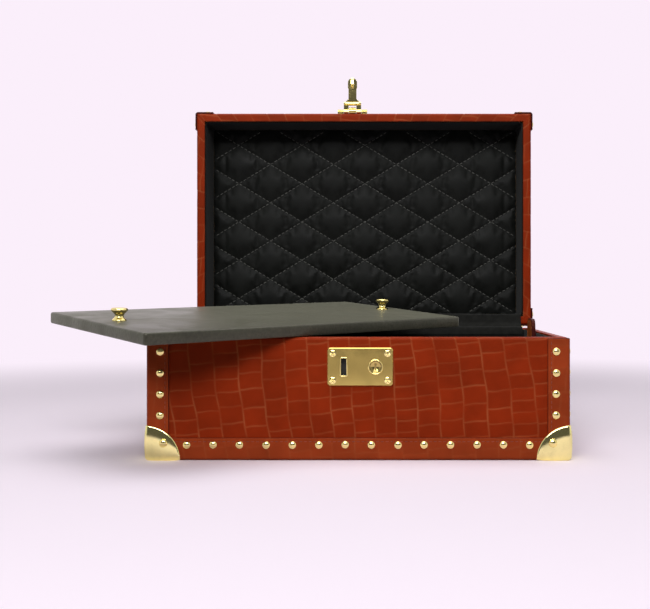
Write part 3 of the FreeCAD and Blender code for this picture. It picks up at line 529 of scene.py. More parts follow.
def stitches(runs, pitch, thick):
    """Rows of short arched threads with sunk ends, along runs that have a start, an end and a normal."""
    seats, ups, ways = [], [], []
    for start, end, normal in runs:
        start, end = np.asarray(start, float), np.asarray(end, float)
        run = np.linalg.norm(end - start)
        count = max(int(run / pitch), 1)
        steps = (np.arange(count) + 0.5) / count
        seats.append(start + steps[:, None] * (end - start))
        ups.append(np.tile(normal, (count, 1)))
        ways.append(np.tile((end - start) / run, (count, 1)))
    reach = 0.36 * pitch
    along = np.array([-1, -0.72, 0, 0.72, 1]) * reach
    lift = np.array([-0.7, 0.05, 0.35, 0.05, -0.7]) * thick
    girth = np.array([0.55, 1, 1, 1, 0.55]) * thick
    angle = full_turn(6)
    rings = np.stack([along[:, None] + 0 * angle, girth[:, None] * np.cos(angle),
                      lift[:, None] + girth[:, None] * np.sin(angle)], -1)
    return repeated(tube(rings), np.concatenate(seats), np.concatenate(ups), np.concatenate(ways))


# Embossed leather

def emboss(u, v, sizes, seed):
    """Crocodile scales on a flat pattern, u across and v up, in metres.

    Columns of scales lean and sway: a column is the whole part of the swayed u over the scale
    width. Each column has its own rows, tilted and unevenly high. The groove is one on the lines
    between scales and falls off as a bell curve of the distance to the nearest line. Lengths below
    are in millimetres.
    """
    lean, tilt, row_share = 0.1, 0.09, 0.8
    u, v = u / MM, v / MM
    wide, high, half = sizes.scale_w / MM, sizes.scale_h / MM, sizes.scale_groove / MM
    sway = 1.1 * np.sin(v / 17 + u / 60 + seed) + 0.35 * np.sin(v / 5.5 - u / 23 + 2 * seed)
    across = (u + lean * v + sway + 2.6 * np.sin(u / 37 + seed)) / wide
    column = np.floor(across)
    side = across - column
    stretch = 0.8 + 0.45 * scatter(column, seed)
    rows = (v - tilt * (side - 0.5) * wide) / (high * stretch) + 9 * scatter(column, seed + 1)
    rows = rows + 0.2 * np.sin(v / 13 + 5 * column) + 0.02 * np.sin(u / 2.6 + 3 * column)
    row = np.floor(rows)
    up = rows - row
    to_column = np.minimum(side, 1 - side) * wide
    to_row = np.minimum(up, 1 - up) * high * stretch
    worn = 0.62 + 0.38 * np.sin(u / 9.3 + 1.7 * np.sin(v / 11 + seed)) * np.sin(v / 7.1 + seed)
    groove = np.maximum(np.exp(-(to_column / half) ** 2), row_share * np.exp(-(to_row / half) ** 2)) * worn
    tone = scatter(column * 57 + row, seed + 2)
    return groove, tone


def wall_profile(height, sizes):
    """Loop round a wall leather in depth and height: up the face, over the rim and back inside."""
    skin, roll, lip = sizes.leather_t, sizes.rim_r, 0.4 * MM
    count = int((height - roll - FOOT_Z) / sizes.mesh_pitch)
    face = np.stack([np.zeros(count), np.linspace(FOOT_Z, height - roll, count)], -1)
    a = np.linspace(0, math.pi / 2, 9)[1:]
    bend = np.stack([roll * (1 - np.cos(a)), height - roll + roll * np.sin(a)], -1)
    flat = np.linspace(roll, WALL_T - lip, 9)[1:]
    top = np.stack([flat, np.full(len(flat), height)], -1)
    inner = np.array([[WALL_T, height - lip], [WALL_T, height - skin],
                      [skin, height - skin], [skin, FOOT_Z]])
    outward = np.concatenate([np.tile([-1.0, 0], (count, 1)), np.stack([-np.cos(a), np.sin(a)], -1),
                              np.tile([0, 1.0], (len(flat), 1)), np.zeros((len(inner), 2))])
    loop = np.concatenate([face, bend, top, inner])
    steps = np.linalg.norm(np.diff(loop, axis=0, prepend=loop[:1]), axis=1)
    return loop, outward, np.cumsum(steps)


def wall_leather(height, half, reach, sizes, seed):
    """A wall's leather as that loop carried along the wall, mitred at both ends and embossed."""
    loop, outward, run = wall_profile(height, sizes)
    u = np.linspace(-half, half, int(2 * half / sizes.mesh_pitch))[:, None]
    groove, tone = emboss(u, run[None], sizes, seed)
    skin = np.abs(outward).sum(1)[None] > 0
    sink = np.where(skin, groove * sizes.scale_depth, 0)
    depth = loop[None, :, 0] - outward[None, :, 0] * sink
    lift = loop[None, :, 1] - outward[None, :, 1] * sink
    x = u * (half - loop[None, :, 0]) / half
    rings = np.stack([x + 0 * depth, depth - reach, lift], -1)
    return tube(rings, {"groove": groove, "tone": tone, "paint": 0 * groove})


def backed_sheet(u, v, near, far, values=None):
    """A grid over u and v at heights near, closed round its rim onto one flat face at the height far."""
    rows, cols = u.shape
    index = np.arange(rows * cols).reshape(rows, cols)
    rim = np.concatenate([index[:-1, 0], index[-1, :-1], index[:0:-1, -1], index[0, :0:-1]])
    back = rows * cols + np.arange(len(rim))
    wall = np.stack([rim, np.roll(rim, -1), np.roll(back, -1), back], -1)
    front = np.stack([u, v, near + 0 * u], -1).reshape(-1, 3)
    edge = np.concatenate([front[rim, :2], np.full((len(rim), 1), far)], 1)
    values = {key: np.concatenate([array.ravel(), array.ravel()[rim]])
              for key, array in (values or {}).items()}
    quads = np.concatenate([grid_quads(rows, cols, round_cols=False), wall[:, ::-1]])
    return Shape(np.concatenate([front, edge]), quads, [back[::-1]], values)


def flat_leather(half_x, half_y, sizes, pitch, seed):
    """A leather panel in the floor of the box, embossed on its underside."""
    x = np.linspace(-half_x, half_x, int(2 * half_x / pitch))
    y = np.linspace(-half_y, half_y, int(2 * half_y / pitch))
    u, v = np.meshgrid(x, y, indexing="ij")
    groove, tone = emboss(u, v, sizes, seed)
    return backed_sheet(u, v, groove * sizes.scale_depth, BAND_T,
                        {"groove": groove, "tone": tone, "paint": 0 * groove})


# Bands along the edges

def angle_loop(first, second, sizes):
    """Loop round a bent band: along one face, over the corner at zero and along the other face.

    The first face runs back along -p and the second along +q. The loop carries how far each
    point is from the band's nearest cut edge, and its outward direction.
    """
    thick, turn, ease = BAND_T, sizes.band_r, sizes.band_edge
    start = straight((-first, thick), (-first, ease), thick)
    start_turn = edge_turn((-first, ease), (-first + ease, 0), (-first, 0))
    face_a = straight((-first + ease, 0), (-turn, 0), sizes.band_pitch)
    corner = edge_turn((-turn, 0), (0, turn), (0, 0), 5)
    face_b = straight((0, turn), (0, second - ease), sizes.band_pitch)
    end_turn = edge_turn((0, second - ease), (-ease, second), (0, second))
    end = straight((-ease, second), (-thick, second), thick)
    loop = np.concatenate([start, start_turn, face_a, corner, face_b, end_turn, end, [(-thick, thick)]])
    ahead = np.roll(loop, -1, 0) - np.roll(loop, 1, 0)
    outward = np.stack([ahead[:, 1], -ahead[:, 0]], -1)
    outward /= np.linalg.norm(outward, axis=1, keepdims=True) + 1e-12
    from_edge = np.minimum(loop[:, 0] + first, second - loop[:, 1])
    skin = np.zeros(len(loop))
    skin[len(start):-len(end) - 1] = 1
    run = np.cumsum(np.linalg.norm(np.diff(loop, axis=0, prepend=loop[:1]), axis=1))
    return loop, outward, from_edge, skin, run


def band(first, second, low, high, rounded_end, sizes, seed):
    """A bent band carried from low to high, creased beside its edges and painted on its cuts."""
    loop, outward, from_edge, skin, run = angle_loop(first, second, sizes)
    ease = sizes.band_edge
    crease_w, crease_depth, paint_w = 0.5 * MM, 0.22 * MM, 0.35 * MM
    steps = np.linspace(low, high, max(int((high - low) / sizes.band_pitch), 2))
    inset = np.zeros(len(steps))
    if rounded_end:
        steps = np.concatenate([steps[:-1], [high - ease, high - 0.3 * ease, high]])
        inset = np.concatenate([inset[:-1], [0, 0.3 * ease, ease]])
    groove, tone = emboss(steps[:, None], run[None], sizes, seed)
    crease = np.exp(-((from_edge - sizes.crease_at) / crease_w) ** 2)
    sink = 0.5 * groove * sizes.scale_depth + crease_depth * crease[None] + inset[:, None]
    flat = loop[None] - (outward * skin[:, None])[None] * sink[..., None]
    rings = np.concatenate([flat, np.broadcast_to(steps[:, None, None], flat.shape[:2] + (1,))], -1)
    cut = np.clip(1 - from_edge / paint_w, 0, 1)[None]
    paint = np.maximum(cut + 0 * groove, (inset[:, None] > 0) * 1.0)
    return tube(rings, {"groove": 0.6 * groove, "tone": tone, "paint": paint})


def corner_bands(height, sizes, seed):
    """The four upright bands of a box, from its caps to just under its rim."""
    below_rim = 0.8 * MM
    post = band(BAND_W, BAND_W, BRASS_T, height - below_rim, True, sizes, seed)
    shapes = []
    for quarter in range(4):
        corner = turned(np.array([1.0, -1.0, 0]), quarter) * [BAND_X, BAND_Y, 0]
        shapes.append(post.moved(lambda p, q=quarter, c=corner: turned(p, q) + c))
    return joined(shapes)


def foot_bands(sizes, seed):
    """The four bands along and under the bottom edges of a box."""
    shapes = []
    for quarter in range(4):
        half, reach = wall_reach(quarter, BAND_X, BAND_Y)
        strip = band(BAND_W, sizes.band_foot, BAND_W - half, half - BAND_W, False, sizes, seed + quarter)

        def lay(p, q=quarter, out=reach):
            """The first face up the wall, the second under the floor, the run along the wall."""
            return turned(np.stack([-p[:, 2], p[:, 1] - out, -p[:, 0]], -1), q)

        shapes.append(strip.moved(lay))
    return joined(shapes)


def band_stitches(height, sizes):
    """Stitches along the creases of the bands of a box."""
    runs = []
    at = BAND_W - sizes.crease_at
    lift, clear, thread_r = 0.12 * MM, 3 * MM, 0.26 * MM
    for quarter in range(4):
        half, reach = wall_reach(quarter, BAND_X, BAND_Y)
        rows = [((-half + BAND_W, at), (half - BAND_W, at))]
        for side in (-1, 1):
            post = side * (half - at)
            rows.append(((post, CAP_REACH - clear), (post, height - clear)))
        for low, high in rows:
            start, end = ((x, lift - reach, z) for x, z in (low, high))
            runs.append(turned(np.array([start, end, (0, -1.0, 0)]), quarter))
    return stitches(runs, sizes.stitch_pitch, thread_r)


# Brass

def corner_caps(sizes):
    """Pressed caps over the four bottom corners of a box.

    A cap is a polar grid about the tip: rho outwards and psi through the three faces, 90 degrees
    each. Each point of the sharp corner is drawn to the rounded one by measuring from the nearest
    point a radius inside all three faces. The faces are crowned, and the rim turns down to the band.
    """
    tip_r, rim_drop, rim_flare = 0.15 * MM, 0.3 * MM, 0.12 * MM
    psi = np.linspace(0, 3, 97)[:-1]
    turn = (psi - np.floor(psi)) * math.pi / 2
    cos, sin, none = np.cos(turn), np.sin(turn), 0 * turn
    face = np.floor(psi).astype(int)
    ways = np.stack([
        np.choose(face, [cos, none, sin]),
        np.choose(face, [sin, cos, none]),
        np.choose(face, [none, sin, cos]),
    ], -1)
    rho = np.concatenate([[tip_r], np.linspace(0, 1, 26)[1:] ** 0.9 * CAP_REACH])
    sharp = rho[:, None, None] * ways[None]
    radius = sizes.cap_r
    core = np.maximum(sharp, radius)
    out = sharp - core
    out /= np.linalg.norm(out, axis=2, keepdims=True)
    share = rho / CAP_REACH
    crown = sizes.cap_crown * 4 * share * (1 - share) - rim_drop * share ** 8
    skin = core + out * (radius + crown)[:, None, None]
    rim = skin[-1:] - out[-1:] * np.array([0.35, 0.95])[:, None, None] * BRASS_T
    rim[0] += ways * rim_flare
    rings = np.concatenate([skin, rim])
    shapes = []
    for quarter in range(4):
        sx, sy = turned(np.array([1.0, -1.0, 0]), quarter)[:2]
        tip = np.array([sx * (BAND_X + BRASS_T), sy * (BAND_Y + BRASS_T), 0])
        shapes.append(tube(rings * [-sx, -sy, 1] + tip))
    return shapes


def nail_seats(post_low, post_high, post_count):
    """Seats and directions of a box's nails: rows along the foot, up the corners, on the caps."""
    row_x, row_z, post_x, cap_at, cap_out = 30.7 * MM, 11.8 * MM, 10.7 * MM, 13.4 * MM, 0.8 * MM
    row_counts, drift_by = (14, 8), 0.35 * MM
    post = np.linspace(post_low, post_high, post_count)
    seats, ways = [], []
    for quarter in range(4):
        half, reach = wall_reach(quarter, BAND_X, BAND_Y)
        row = np.linspace(row_x - half, half - row_x, row_counts[quarter % 2])
        spots = [(x, -reach, row_z) for x in row]
        for side in (-1, 1):
            spots += [(side * (half - post_x), -reach, z) for z in post]
            spots.append((side * (half - cap_at), -reach - BRASS_T - cap_out, cap_at))
        seats.append(turned(np.array(spots), quarter))
        ways.append(turned(np.tile([0, -1.0, 0], (len(spots), 1)), quarter))
    seats, ways = np.concatenate(seats), np.concatenate(ways)
    number = np.arange(len(seats))
    across, along = tangents(ways)
    aside, ahead = (scatter(number, seed)[:, None] - 0.5 for seed in (3, 4))
    return seats + drift_by * (across * aside + along * ahead), ways


def nails(seats, ways, sizes):
    """Domed nail heads: a quarter of an ellipse turned round, over a short rim."""
    sunk, rim = 0.1 * MM, 0.25 * MM
    a = np.linspace(0, 0.47 * math.pi, 5)
    radii = np.concatenate([[sizes.nail_r * 0.96], sizes.nail_r * np.cos(a)])
    heights = np.concatenate([[-sunk], rim + (sizes.nail_h - rim) * np.sin(a)])
    return repeated(turned_profile(radii, heights, 12), seats, ways)


def screw_heads(seats, way, radius, height):
    """Low screw heads: a flat face with a round edge turned round, sunk within a small cross."""
    sunk = 0.2 * MM
    rho = np.concatenate([[1.0, 1.0], np.linspace(1, 0.03, 16)[1:]])[:, None]
    angle = full_turn(48)[None]
    x, y = radius * rho * np.cos(angle), radius * rho * np.sin(angle)
    z = height * (0.35 + 0.65 * (1 - rho ** 4)) + 0 * angle
    narrow = np.minimum(np.abs(x), np.abs(y)) / radius
    cross = np.clip((0.19 - narrow) / 0.06, 0, 1) * np.clip((0.72 - rho) / 0.1, 0, 1)
    z = z - 0.75 * height * cross
    z[0] = -sunk
    return repeated(tube(np.stack([x, y, z], -1)), seats, np.tile(way, (len(seats), 1)))


def plug_face():
    """Key plug: a dished face turned round, with a rolled ring about it on the plate."""
    dish = cut_corners(np.array([(4.45, -2.0), (4.45, -0.2), (4.0, -0.12), (3.4, -0.45), (1.6, -1.15),
                                 (0.05, -1.25)]) * MM)
    ring = cut_corners(np.array([(5.9, -0.2), (5.9, 0.45), (5.5, 1.0), (5.0, 1.0), (4.62, 0.5),
                                 (4.62, -0.6)]) * MM)
    return turned_profile(dish[:, 0], dish[:, 1], 48), ring_profile(ring[:, 0], ring[:, 1], 56)


def slot_bead(half_a, half_b):
    """Rolled bead round the staple slot: a small closed profile carried round a rectangle."""
    corner = 0.3 * MM
    profile = cut_corners(np.array([(0.0, -0.2), (0.0, 0.3), (0.4, 0.5), (0.9, 0.3), (1.0, -0.2)]) * MM)
    rings = []
    for out, up in profile:
        loop = rounded_loop(half_a + out, half_b + out, corner + out, 4)
        rings.append(np.c_[loop, np.full(len(loop), up)])
    return Shape(np.stack(rings), grid_quads(len(rings), len(loop), round_rows=True)[:, ::-1])


def cross_bar():
    """Round bar across the inner face of the hasp's tongue: a circle carried along x, with drawn-in ends."""
    low, high = span("hasp_tongue")
    radius, inside, above, end = 1.6 * MM, 3.9 * MM, 9.5 * MM, 0.4 * MM
    girth = np.array([0.9, 1, 1, 0.9])
    x = np.array([low[0], low[0] + end, high[0] - end, high[0]])
    path = np.stack([x, np.full(4, high[1] - inside), np.full(4, low[2] + above)], -1)
    a = full_turn(16)
    loop = radius * np.stack([0 * a, np.cos(a), np.sin(a)], -1)
    return tube(path[:, None] + loop * girth[:, None, None])


def lean_staple(mesh):
    """Leans the end of the staple back towards its tip, one part in seven, so that it enters its slot."""
    reach, tip, parts = 2.4 * MM, 9 * MM, 7
    points = np.empty(3 * len(mesh.vertices), np.float32)
    mesh.vertices.foreach_get("co", points)
    points = points.reshape(-1, 3)
    low, high = span("hasp_tongue")
    near = np.clip(1 - (points[:, 1] - low[1]) / reach, 0, 1)
    points[:, 1] += near * np.clip(points[:, 2] - (high[2] - tip), 0, None) / parts
    mesh.vertices.foreach_set("co", points.ravel())


# Quilted pad and cloth

def quilt_grid(sizes):
    """Grid over the pad whose diagonals fall on the sewn lines, with a border column and row."""
    def steps(half, pitch):
        """Whole steps from the middle out, and the border."""
        count = int(half / pitch - 0.3)
        return np.concatenate([[-half], np.arange(-count, count + 1) * pitch, [half]])

    x = steps(PAD_X, sizes.quilt_w / (2 * sizes.quilt_cells))
    z = steps(PAD_Z, sizes.quilt_h / (2 * sizes.quilt_cells))
    return np.meshgrid(x, z, indexing="ij")


def seam_distance(u, v, sizes):
    """Distance from the sewn lines each way: two sine waves, zero on a line and one half way."""
    p, q = u / sizes.quilt_w, v / sizes.quilt_h
    first = np.abs(np.sin(math.pi * (p - q)))
    second = np.abs(np.sin(math.pi * (p + q)))
    return first, second


def swollen(u, v, rise, pinned):
    """Lets the sewn cloth swell: Blender's cloth with pressure on a sheet held along its seams.

    The sheet is cut a little larger than its frame, so it billows between the seams and puckers
    beside them. Heights come back as distances in front of the sheet's own plane.
    """
    rows, cols = u.shape
    points = np.stack([u, v, rise], -1).reshape(-1, 3) * CLOTH_SCALE
    mesh = bpy.data.meshes.new("pad_sheet")
    mesh.from_pydata(points.tolist(), [], grid_quads(rows, cols, round_cols=False)[:, ::-1].tolist())
    sheet = bpy.data.objects.new("pad_sheet", mesh)
    scene = bpy.context.scene
    scene.collection.objects.link(sheet)
    sheet.vertex_groups.new(name="sewn").add(np.flatnonzero(pinned).tolist(), 1.0, "REPLACE")
    cloth = sheet.modifiers.new("swell", "CLOTH")
    for key, value in CLOTH_SETTINGS.items():
        setattr(cloth.settings, key, value)
    cloth.settings.effector_weights.gravity = 0
    cloth.point_cache.frame_start = 1
    cloth.point_cache.frame_end = CLOTH_FRAMES
    for number in range(1, CLOTH_FRAMES + 1):
        scene.frame_set(number)
    solved = sheet.evaluated_get(bpy.context.evaluated_depsgraph_get()).to_mesh()
    settled = np.empty(3 * len(solved.vertices), np.float32)
    solved.vertices.foreach_get("co", settled)
    scene.frame_set(1)
    bpy.data.objects.remove(sheet)
    return settled.reshape(rows, cols, 3) / CLOTH_SCALE


def finer(grid):
    """Doubles a grid: a new point is 9/16 of each neighbour less 1/16 of the next ones along a row."""
    for axis in (0, 1):
        a = np.moveaxis(grid, axis, 0)
        wide = np.concatenate([2 * a[:1] - a[1:2], a, 2 * a[-1:] - a[-2:-1]])
        dense = np.empty((2 * len(a) - 1,) + a.shape[1:])
        dense[::2] = a
        dense[1::2] = (9 * (wide[1:-2] + wide[2:-1]) - wide[:-3] - wide[3:]) / 16
        grid = np.moveaxis(dense, 0, axis)
    return grid


def pad_shape(sizes):
    """The pad: its swollen face, capped to the pad's thickness, over a flat back."""
    border_w, dip = 8 * MM, 0.3 * MM
    u, v = quilt_grid(sizes)
    first, second = seam_distance(u, v, sizes)
    border = np.minimum(PAD_X - np.abs(u), PAD_Z - np.abs(v))
    held = (np.minimum(first, second) < 1e-3) | (border < 1e-6)
    puff = np.sqrt(first * second) * (1 - np.clip(1 - border / border_w, 0, 1) ** 2)
    points = np.stack([u, v, 0.7 * sizes.quilt_puff * puff], -1)
    points = swollen(u, v, 0.25 * sizes.quilt_puff * puff, held)
    points = finer(points)
    rise = sizes.quilt_sunk + np.clip(points[..., 2], -dip, sizes.quilt_puff)
    pad = backed_sheet(points[..., 0], points[..., 1], rise, 0)
    return pad.moved(lambda p: np.stack([p[:, 0], PAD_BACK - p[:, 2], p[:, 1] + LID_MID_Z], -1))


def quilt_stitches(sizes):
    """Stitches down the sewn lines of the pad."""
    border, lift, lines = 2 * MM, 0.1 * MM, 4
    half_x, half_z = PAD_X - border, PAD_Z - border
    face = PAD_BACK - sizes.quilt_sunk - lift
    runs = []
    for slope in (-sizes.quilt_h / sizes.quilt_w, sizes.quilt_h / sizes.quilt_w):
        reach = half_z / abs(slope)
        for step in range(-lines, lines + 1):
            middle = step * sizes.quilt_w
            x0, x1 = max(middle - reach, -half_x), min(middle + reach, half_x)
            if x1 - x0 > sizes.quilt_stitch:
                start, end = ((x, face, LID_MID_Z + (x - middle) * slope) for x in (x0, x1))
                runs.append((start, end, (0, -1.0, 0)))
    return stitches(runs, sizes.quilt_stitch, sizes.quilt_thread)


def wall_lining(height, sizes):
    """Cloth round the inside of four walls: an upright strip with a turned top carried round."""
    low, high = span("base_wall_lining")
    thick = sizes.cloth_t
    foot = low[2]
    half_x, half_y = high[0] - thick, high[1] - thick
    loop = rounded_loop(half_x, half_y, sizes.cloth_corner, 7)
    spread = rounded_loop(half_x + thick, half_y + thick, sizes.cloth_corner + thick, 7)
    outward = (spread - loop) / thick
    fold = thick / 2
    a = np.linspace(0, math.pi, 7)
    upright = np.linspace(foot, height - fold, 13)[:-1]
    depth = np.concatenate([0 * upright, fold * (1 - np.cos(a)), [thick]])
    rise = np.concatenate([upright, height - fold + fold * np.sin(a), [foot]])
    plan = loop[:, None] + outward[:, None] * depth[None, :, None]
    rings = np.concatenate([plan, np.broadcast_to(rise[None, :, None], plan.shape[:2] + (1,))], -1)
    return Shape(rings, grid_quads(*rings.shape[:2], round_rows=True))


def floor_cloth():
    """Cloth on the floor of the base, lying with faint waves: a product of two sines."""
    low, high = span("base_floor_lining")
    x = np.linspace(low[0], high[0], 76)
    y = np.linspace(low[1], high[1], 46)
    u, v = np.meshgrid(x, y, indexing="ij")
    wave_h = 0.12 * MM
    waves = wave_h * (np.sin(u / (19 * MM)) * np.sin(v / (23 * MM)) - 1)
    return backed_sheet(u, v, high[2] + waves, low[2])


def ledge_bars():
    """Cloth-covered strips along the front and back walls."""
    low, high = span("base_panel_ledges")
    wide, ease = 16 * MM, 1.2 * MM
    front = eased_bar(low, (high[0], low[1] + wide, high[2]), ease)
    back = eased_bar((low[0], high[1] - wide, low[2]), high, ease)
    return joined([front, back])


def gusset_shape(sizes):
    """Cloth strip from the lid lining over both rims and down the base lining.

    Its section is a path in y and z with a face to each side, carried along x. Products of sine waves
    ripple it slightly and lift its end on the lid.
    """
    low, high = span("hinge_gusset")
    half_t = sizes.gusset_t / 2
    clear, rise, bridge = 0.25 * MM, 4.1 * MM, 4.3 * MM
    ripple_h, curl_h = 0.12 * MM, 0.6 * MM
    near = LID_RIM_Y - clear - half_t
    over = BASE_H + clear + half_t
    path = folded_path([
        (high[1], high[2] - half_t), (near, high[2] - half_t), (near, over + rise),
        (near - bridge, over), (low[1] + half_t, over), (low[1] + half_t, low[2]),
    ], sizes.gusset_fold)
    side = sideways(path) * half_t
    loop = np.concatenate([path + side, (path - side)[::-1]])
    x = np.linspace(low[0], high[0], 100)[:, None]
    ripple = ripple_h * np.abs(np.sin(x / (8 * MM)) * np.sin(x / (31 * MM)))
    curl = np.clip((loop[None, :, 0] - near - 4 * MM) / (5 * MM), 0, 1)
    lift = ripple + curl * curl_h * (0.5 + 0.5 * np.sin(x / (17 * MM)) * np.sin(x / (29 * MM) + 1))
    rings = np.stack([x + 0 * loop[None, :, 0], loop[None, :, 0] - ripple, loop[None, :, 1] + lift], -1)
    length_m = np.linalg.norm(np.diff(path, axis=0), axis=1).sum()
    return tube(rings), (high[0] - low[0], length_m)


# Tabs, grip and cover panel

def tab_shapes(sizes):
    """Two leather tabs with rounded tops, painted edges and a packing strip against the wall."""
    low, high = span("lid_guide_tabs")
    half_y, half_z = (high[1] - low[1]) / 2, (high[2] - low[2]) / 2
    mid_y, mid_z = (high[1] + low[1]) / 2, (high[2] + low[2]) / 2
    small, ease, painted = 0.8 * MM, 0.45 * MM, 0.5 * MM
    pack_in, pack_lap, pack_ease = MM, 0.2 * MM, 0.1 * MM
    radii = (sizes.tab_r, sizes.tab_r, small, small)
    outer = high[0] - TAB_PACKING
    tab = eased_slab(half_y, half_z, outer - sizes.tab_t, outer, radii, ease, painted)
    pack_h = (BASE_H - sizes.leather_t - low[2]) / 2
    pack = eased_slab(half_y - pack_in, pack_h, outer - pack_lap, high[0], small, pack_ease, painted)
    shapes = []
    for side in (-1, 1):
        for slab, middle in ((tab, mid_z), (pack, low[2] + pack_h)):
            shapes.append(slab.moved(lambda p, s=side, z=middle: np.stack(
                [s * p[:, 2], p[:, 0] + mid_y, p[:, 1] + z], -1)))
    return joined(shapes)


def tab_stitches(sizes):
    """Stitches inside the edges of both tabs, up one side, over the top and down the other."""
    low, high = span("lid_guide_tabs")
    at, above, thread_r, drop = 2.6 * MM, 8 * MM, 0.28 * MM, sizes.tab_r
    runs = []
    for side in (-1, 1):
        x = side * (high[0] - TAB_PACKING - sizes.tab_t)
        y0, y1, top = low[1] + at, high[1] - at, high[2] - at
        corners = [(y0, low[2] + above), (y0, top - drop), (y0 + drop, top), (y1 - drop, top),
                   (y1, top - drop), (y1, low[2] + above)]
        runs += [((x, *start), (x, *end), (-side, 0, 0)) for start, end in zip(corners, corners[1:])]
    return stitches(runs, sizes.stitch_pitch, thread_r)


def grip_shape(sizes):
    """Rolled leather grip: a round section along two legs, two bends and a bar, with round ends.

    A seam runs along it, a bell curve 5 percent deep in the section.
    """
    bar_pitch, seam_depth, seam_w = 3 * MM, 0.05, 0.15
    low, high = span("handle_grip")
    r, leg, bend = sizes.grip_r, sizes.grip_leg_x, sizes.grip_bend
    top, bottom = high[2], low[2] + r
    end = np.linspace(0.06, math.pi / 2, 8)
    a = np.linspace(0, math.pi / 2, 14)[1:]
    drop = np.concatenate([top - r * (1 - np.cos(end)), np.linspace(top - r, bottom + bend, 10)[1:]])
    left = np.concatenate([
        np.stack([np.full(len(drop), -leg), drop], -1),
        np.stack([-leg + bend * (1 - np.cos(a)), bottom + bend * (1 - np.sin(a))], -1),
    ])
    bar = straight((-leg + bend, bottom), (leg - bend, bottom), bar_pitch)[1:-1]
    path = np.concatenate([left, bar, left[::-1] * [-1, 1]])
    girth = np.full(len(path), r)
    girth[:len(end)] = girth[:-len(end) - 1:-1] = r * np.sin(end)
    side = sideways(path)
    angle = full_turn(36)
    seam = 1 - seam_depth * np.exp(-((angle - math.pi / 2) / seam_w) ** 2)
    wide = girth[:, None] * np.cos(angle) * seam
    deep = girth[:, None] * np.sin(angle) * seam
    rings = np.stack([path[:, None, 0] + side[:, None, 0] * deep, (low[1] + high[1]) / 2 + wide,
                      path[:, None, 1] + side[:, None, 1] * deep], -1)
    flat = np.zeros(rings.shape[:2])
    return tube(rings, {"groove": flat, "tone": flat + 0.5, "paint": flat})


def grip_stitches(sizes):
    """Stitches along the inside of the grip's bar, beside its seam."""
    low, high = span("handle_grip")
    beside, thread_r = 1.1 * MM, 0.3 * MM
    x, y, z = sizes.grip_leg_x - sizes.grip_bend, (low[1] + high[1]) / 2 + beside, low[2] + 2 * sizes.grip_r
    return stitches([((-x, y, z), (x, y, z), (0, 0, 1.0))], sizes.stitch_pitch, thread_r)


def panel_axes(sizes):
    """Corner and directions of the cover panel: along, across and up."""
    yaw = sizes.panel_yaw
    along = np.array([math.cos(yaw), math.sin(yaw), sizes.panel_rise_long])
    along /= np.linalg.norm(along)
    across = np.array([-math.sin(yaw), math.cos(yaw), sizes.panel_rise_short])
    across -= along * along.dot(across)
    across /= np.linalg.norm(across)
    up = np.cross(along, across)
    low, high = span("cover_panel")
    corners = [along * i * sizes.panel_l + across * j * sizes.panel_s + up * k * sizes.panel_t
               for i in (0, 1) for j in (0, 1) for k in (-1, 0)]
    return (low + high) / 2 - (np.min(corners, 0) + np.max(corners, 0)) / 2, along, across, up


def laid(points, axes):
    """Carries points from the panel's own frame, with its top at zero, into place."""
    corner, along, across, up = axes
    return corner + points[..., :1] * along + points[..., 1:2] * across + points[..., 2:] * up


def panel_shape(sizes):
    """Board wrapped in suede, with soft edges and a faint crown."""
    half_a, half_b = sizes.panel_l / 2, sizes.panel_s / 2
    slab = eased_slab(half_a, half_b, -sizes.panel_t, 0, sizes.panel_r, sizes.panel_ease)
    return slab.moved(lambda p: laid(p + [half_a, half_b, 0], panel_axes(sizes)))


def knob_shapes(sizes):
    """Turned knobs: a foot, a waist and a flared head with a flat face."""
    profile = np.array([(5.3, -0.05), (5.3, 0.9), (4.6, 1.5), (3.5, 2.5), (3.1, 3.7), (3.7, 5.1), (5.1, 6.5),
                        (6.3, 7.8), (6.3, 8.9), (5.4, 9.7), (2.5, 10.0), (0.05, 10.0)]) * MM
    curve = cut_corners(profile)
    knob = turned_profile(curve[:, 0], curve[:, 1], 40)
    seats = [np.array([at, sizes.panel_s / 2, 0]) for at in (sizes.knob_end, sizes.panel_l - sizes.knob_end)]
    return joined([knob.moved(lambda p, s=seat: laid(p + s, panel_axes(sizes))) for seat in seats])


# Finishes

def add(tree, kind, inputs=None, **settings):
    """Adds a shader node, sets it up, and gives or links its inputs."""
    node = tree.nodes.new("ShaderNode" + kind)
    for key, value in settings.items():
        setattr(node, key, value)
    for key, value in (inputs or {}).items():
        if isinstance(value, bpy.types.NodeSocket):
            tree.links.new(value, node.inputs[key])
        else:
            node.inputs[key].default_value = value
    return node


def toned(tint, factor, lift=0.0):
    """A colour made darker or paler by a factor and a lift."""
    return tuple(min(c * factor + lift, 1) for c in tint[:3]) + (1.0,)


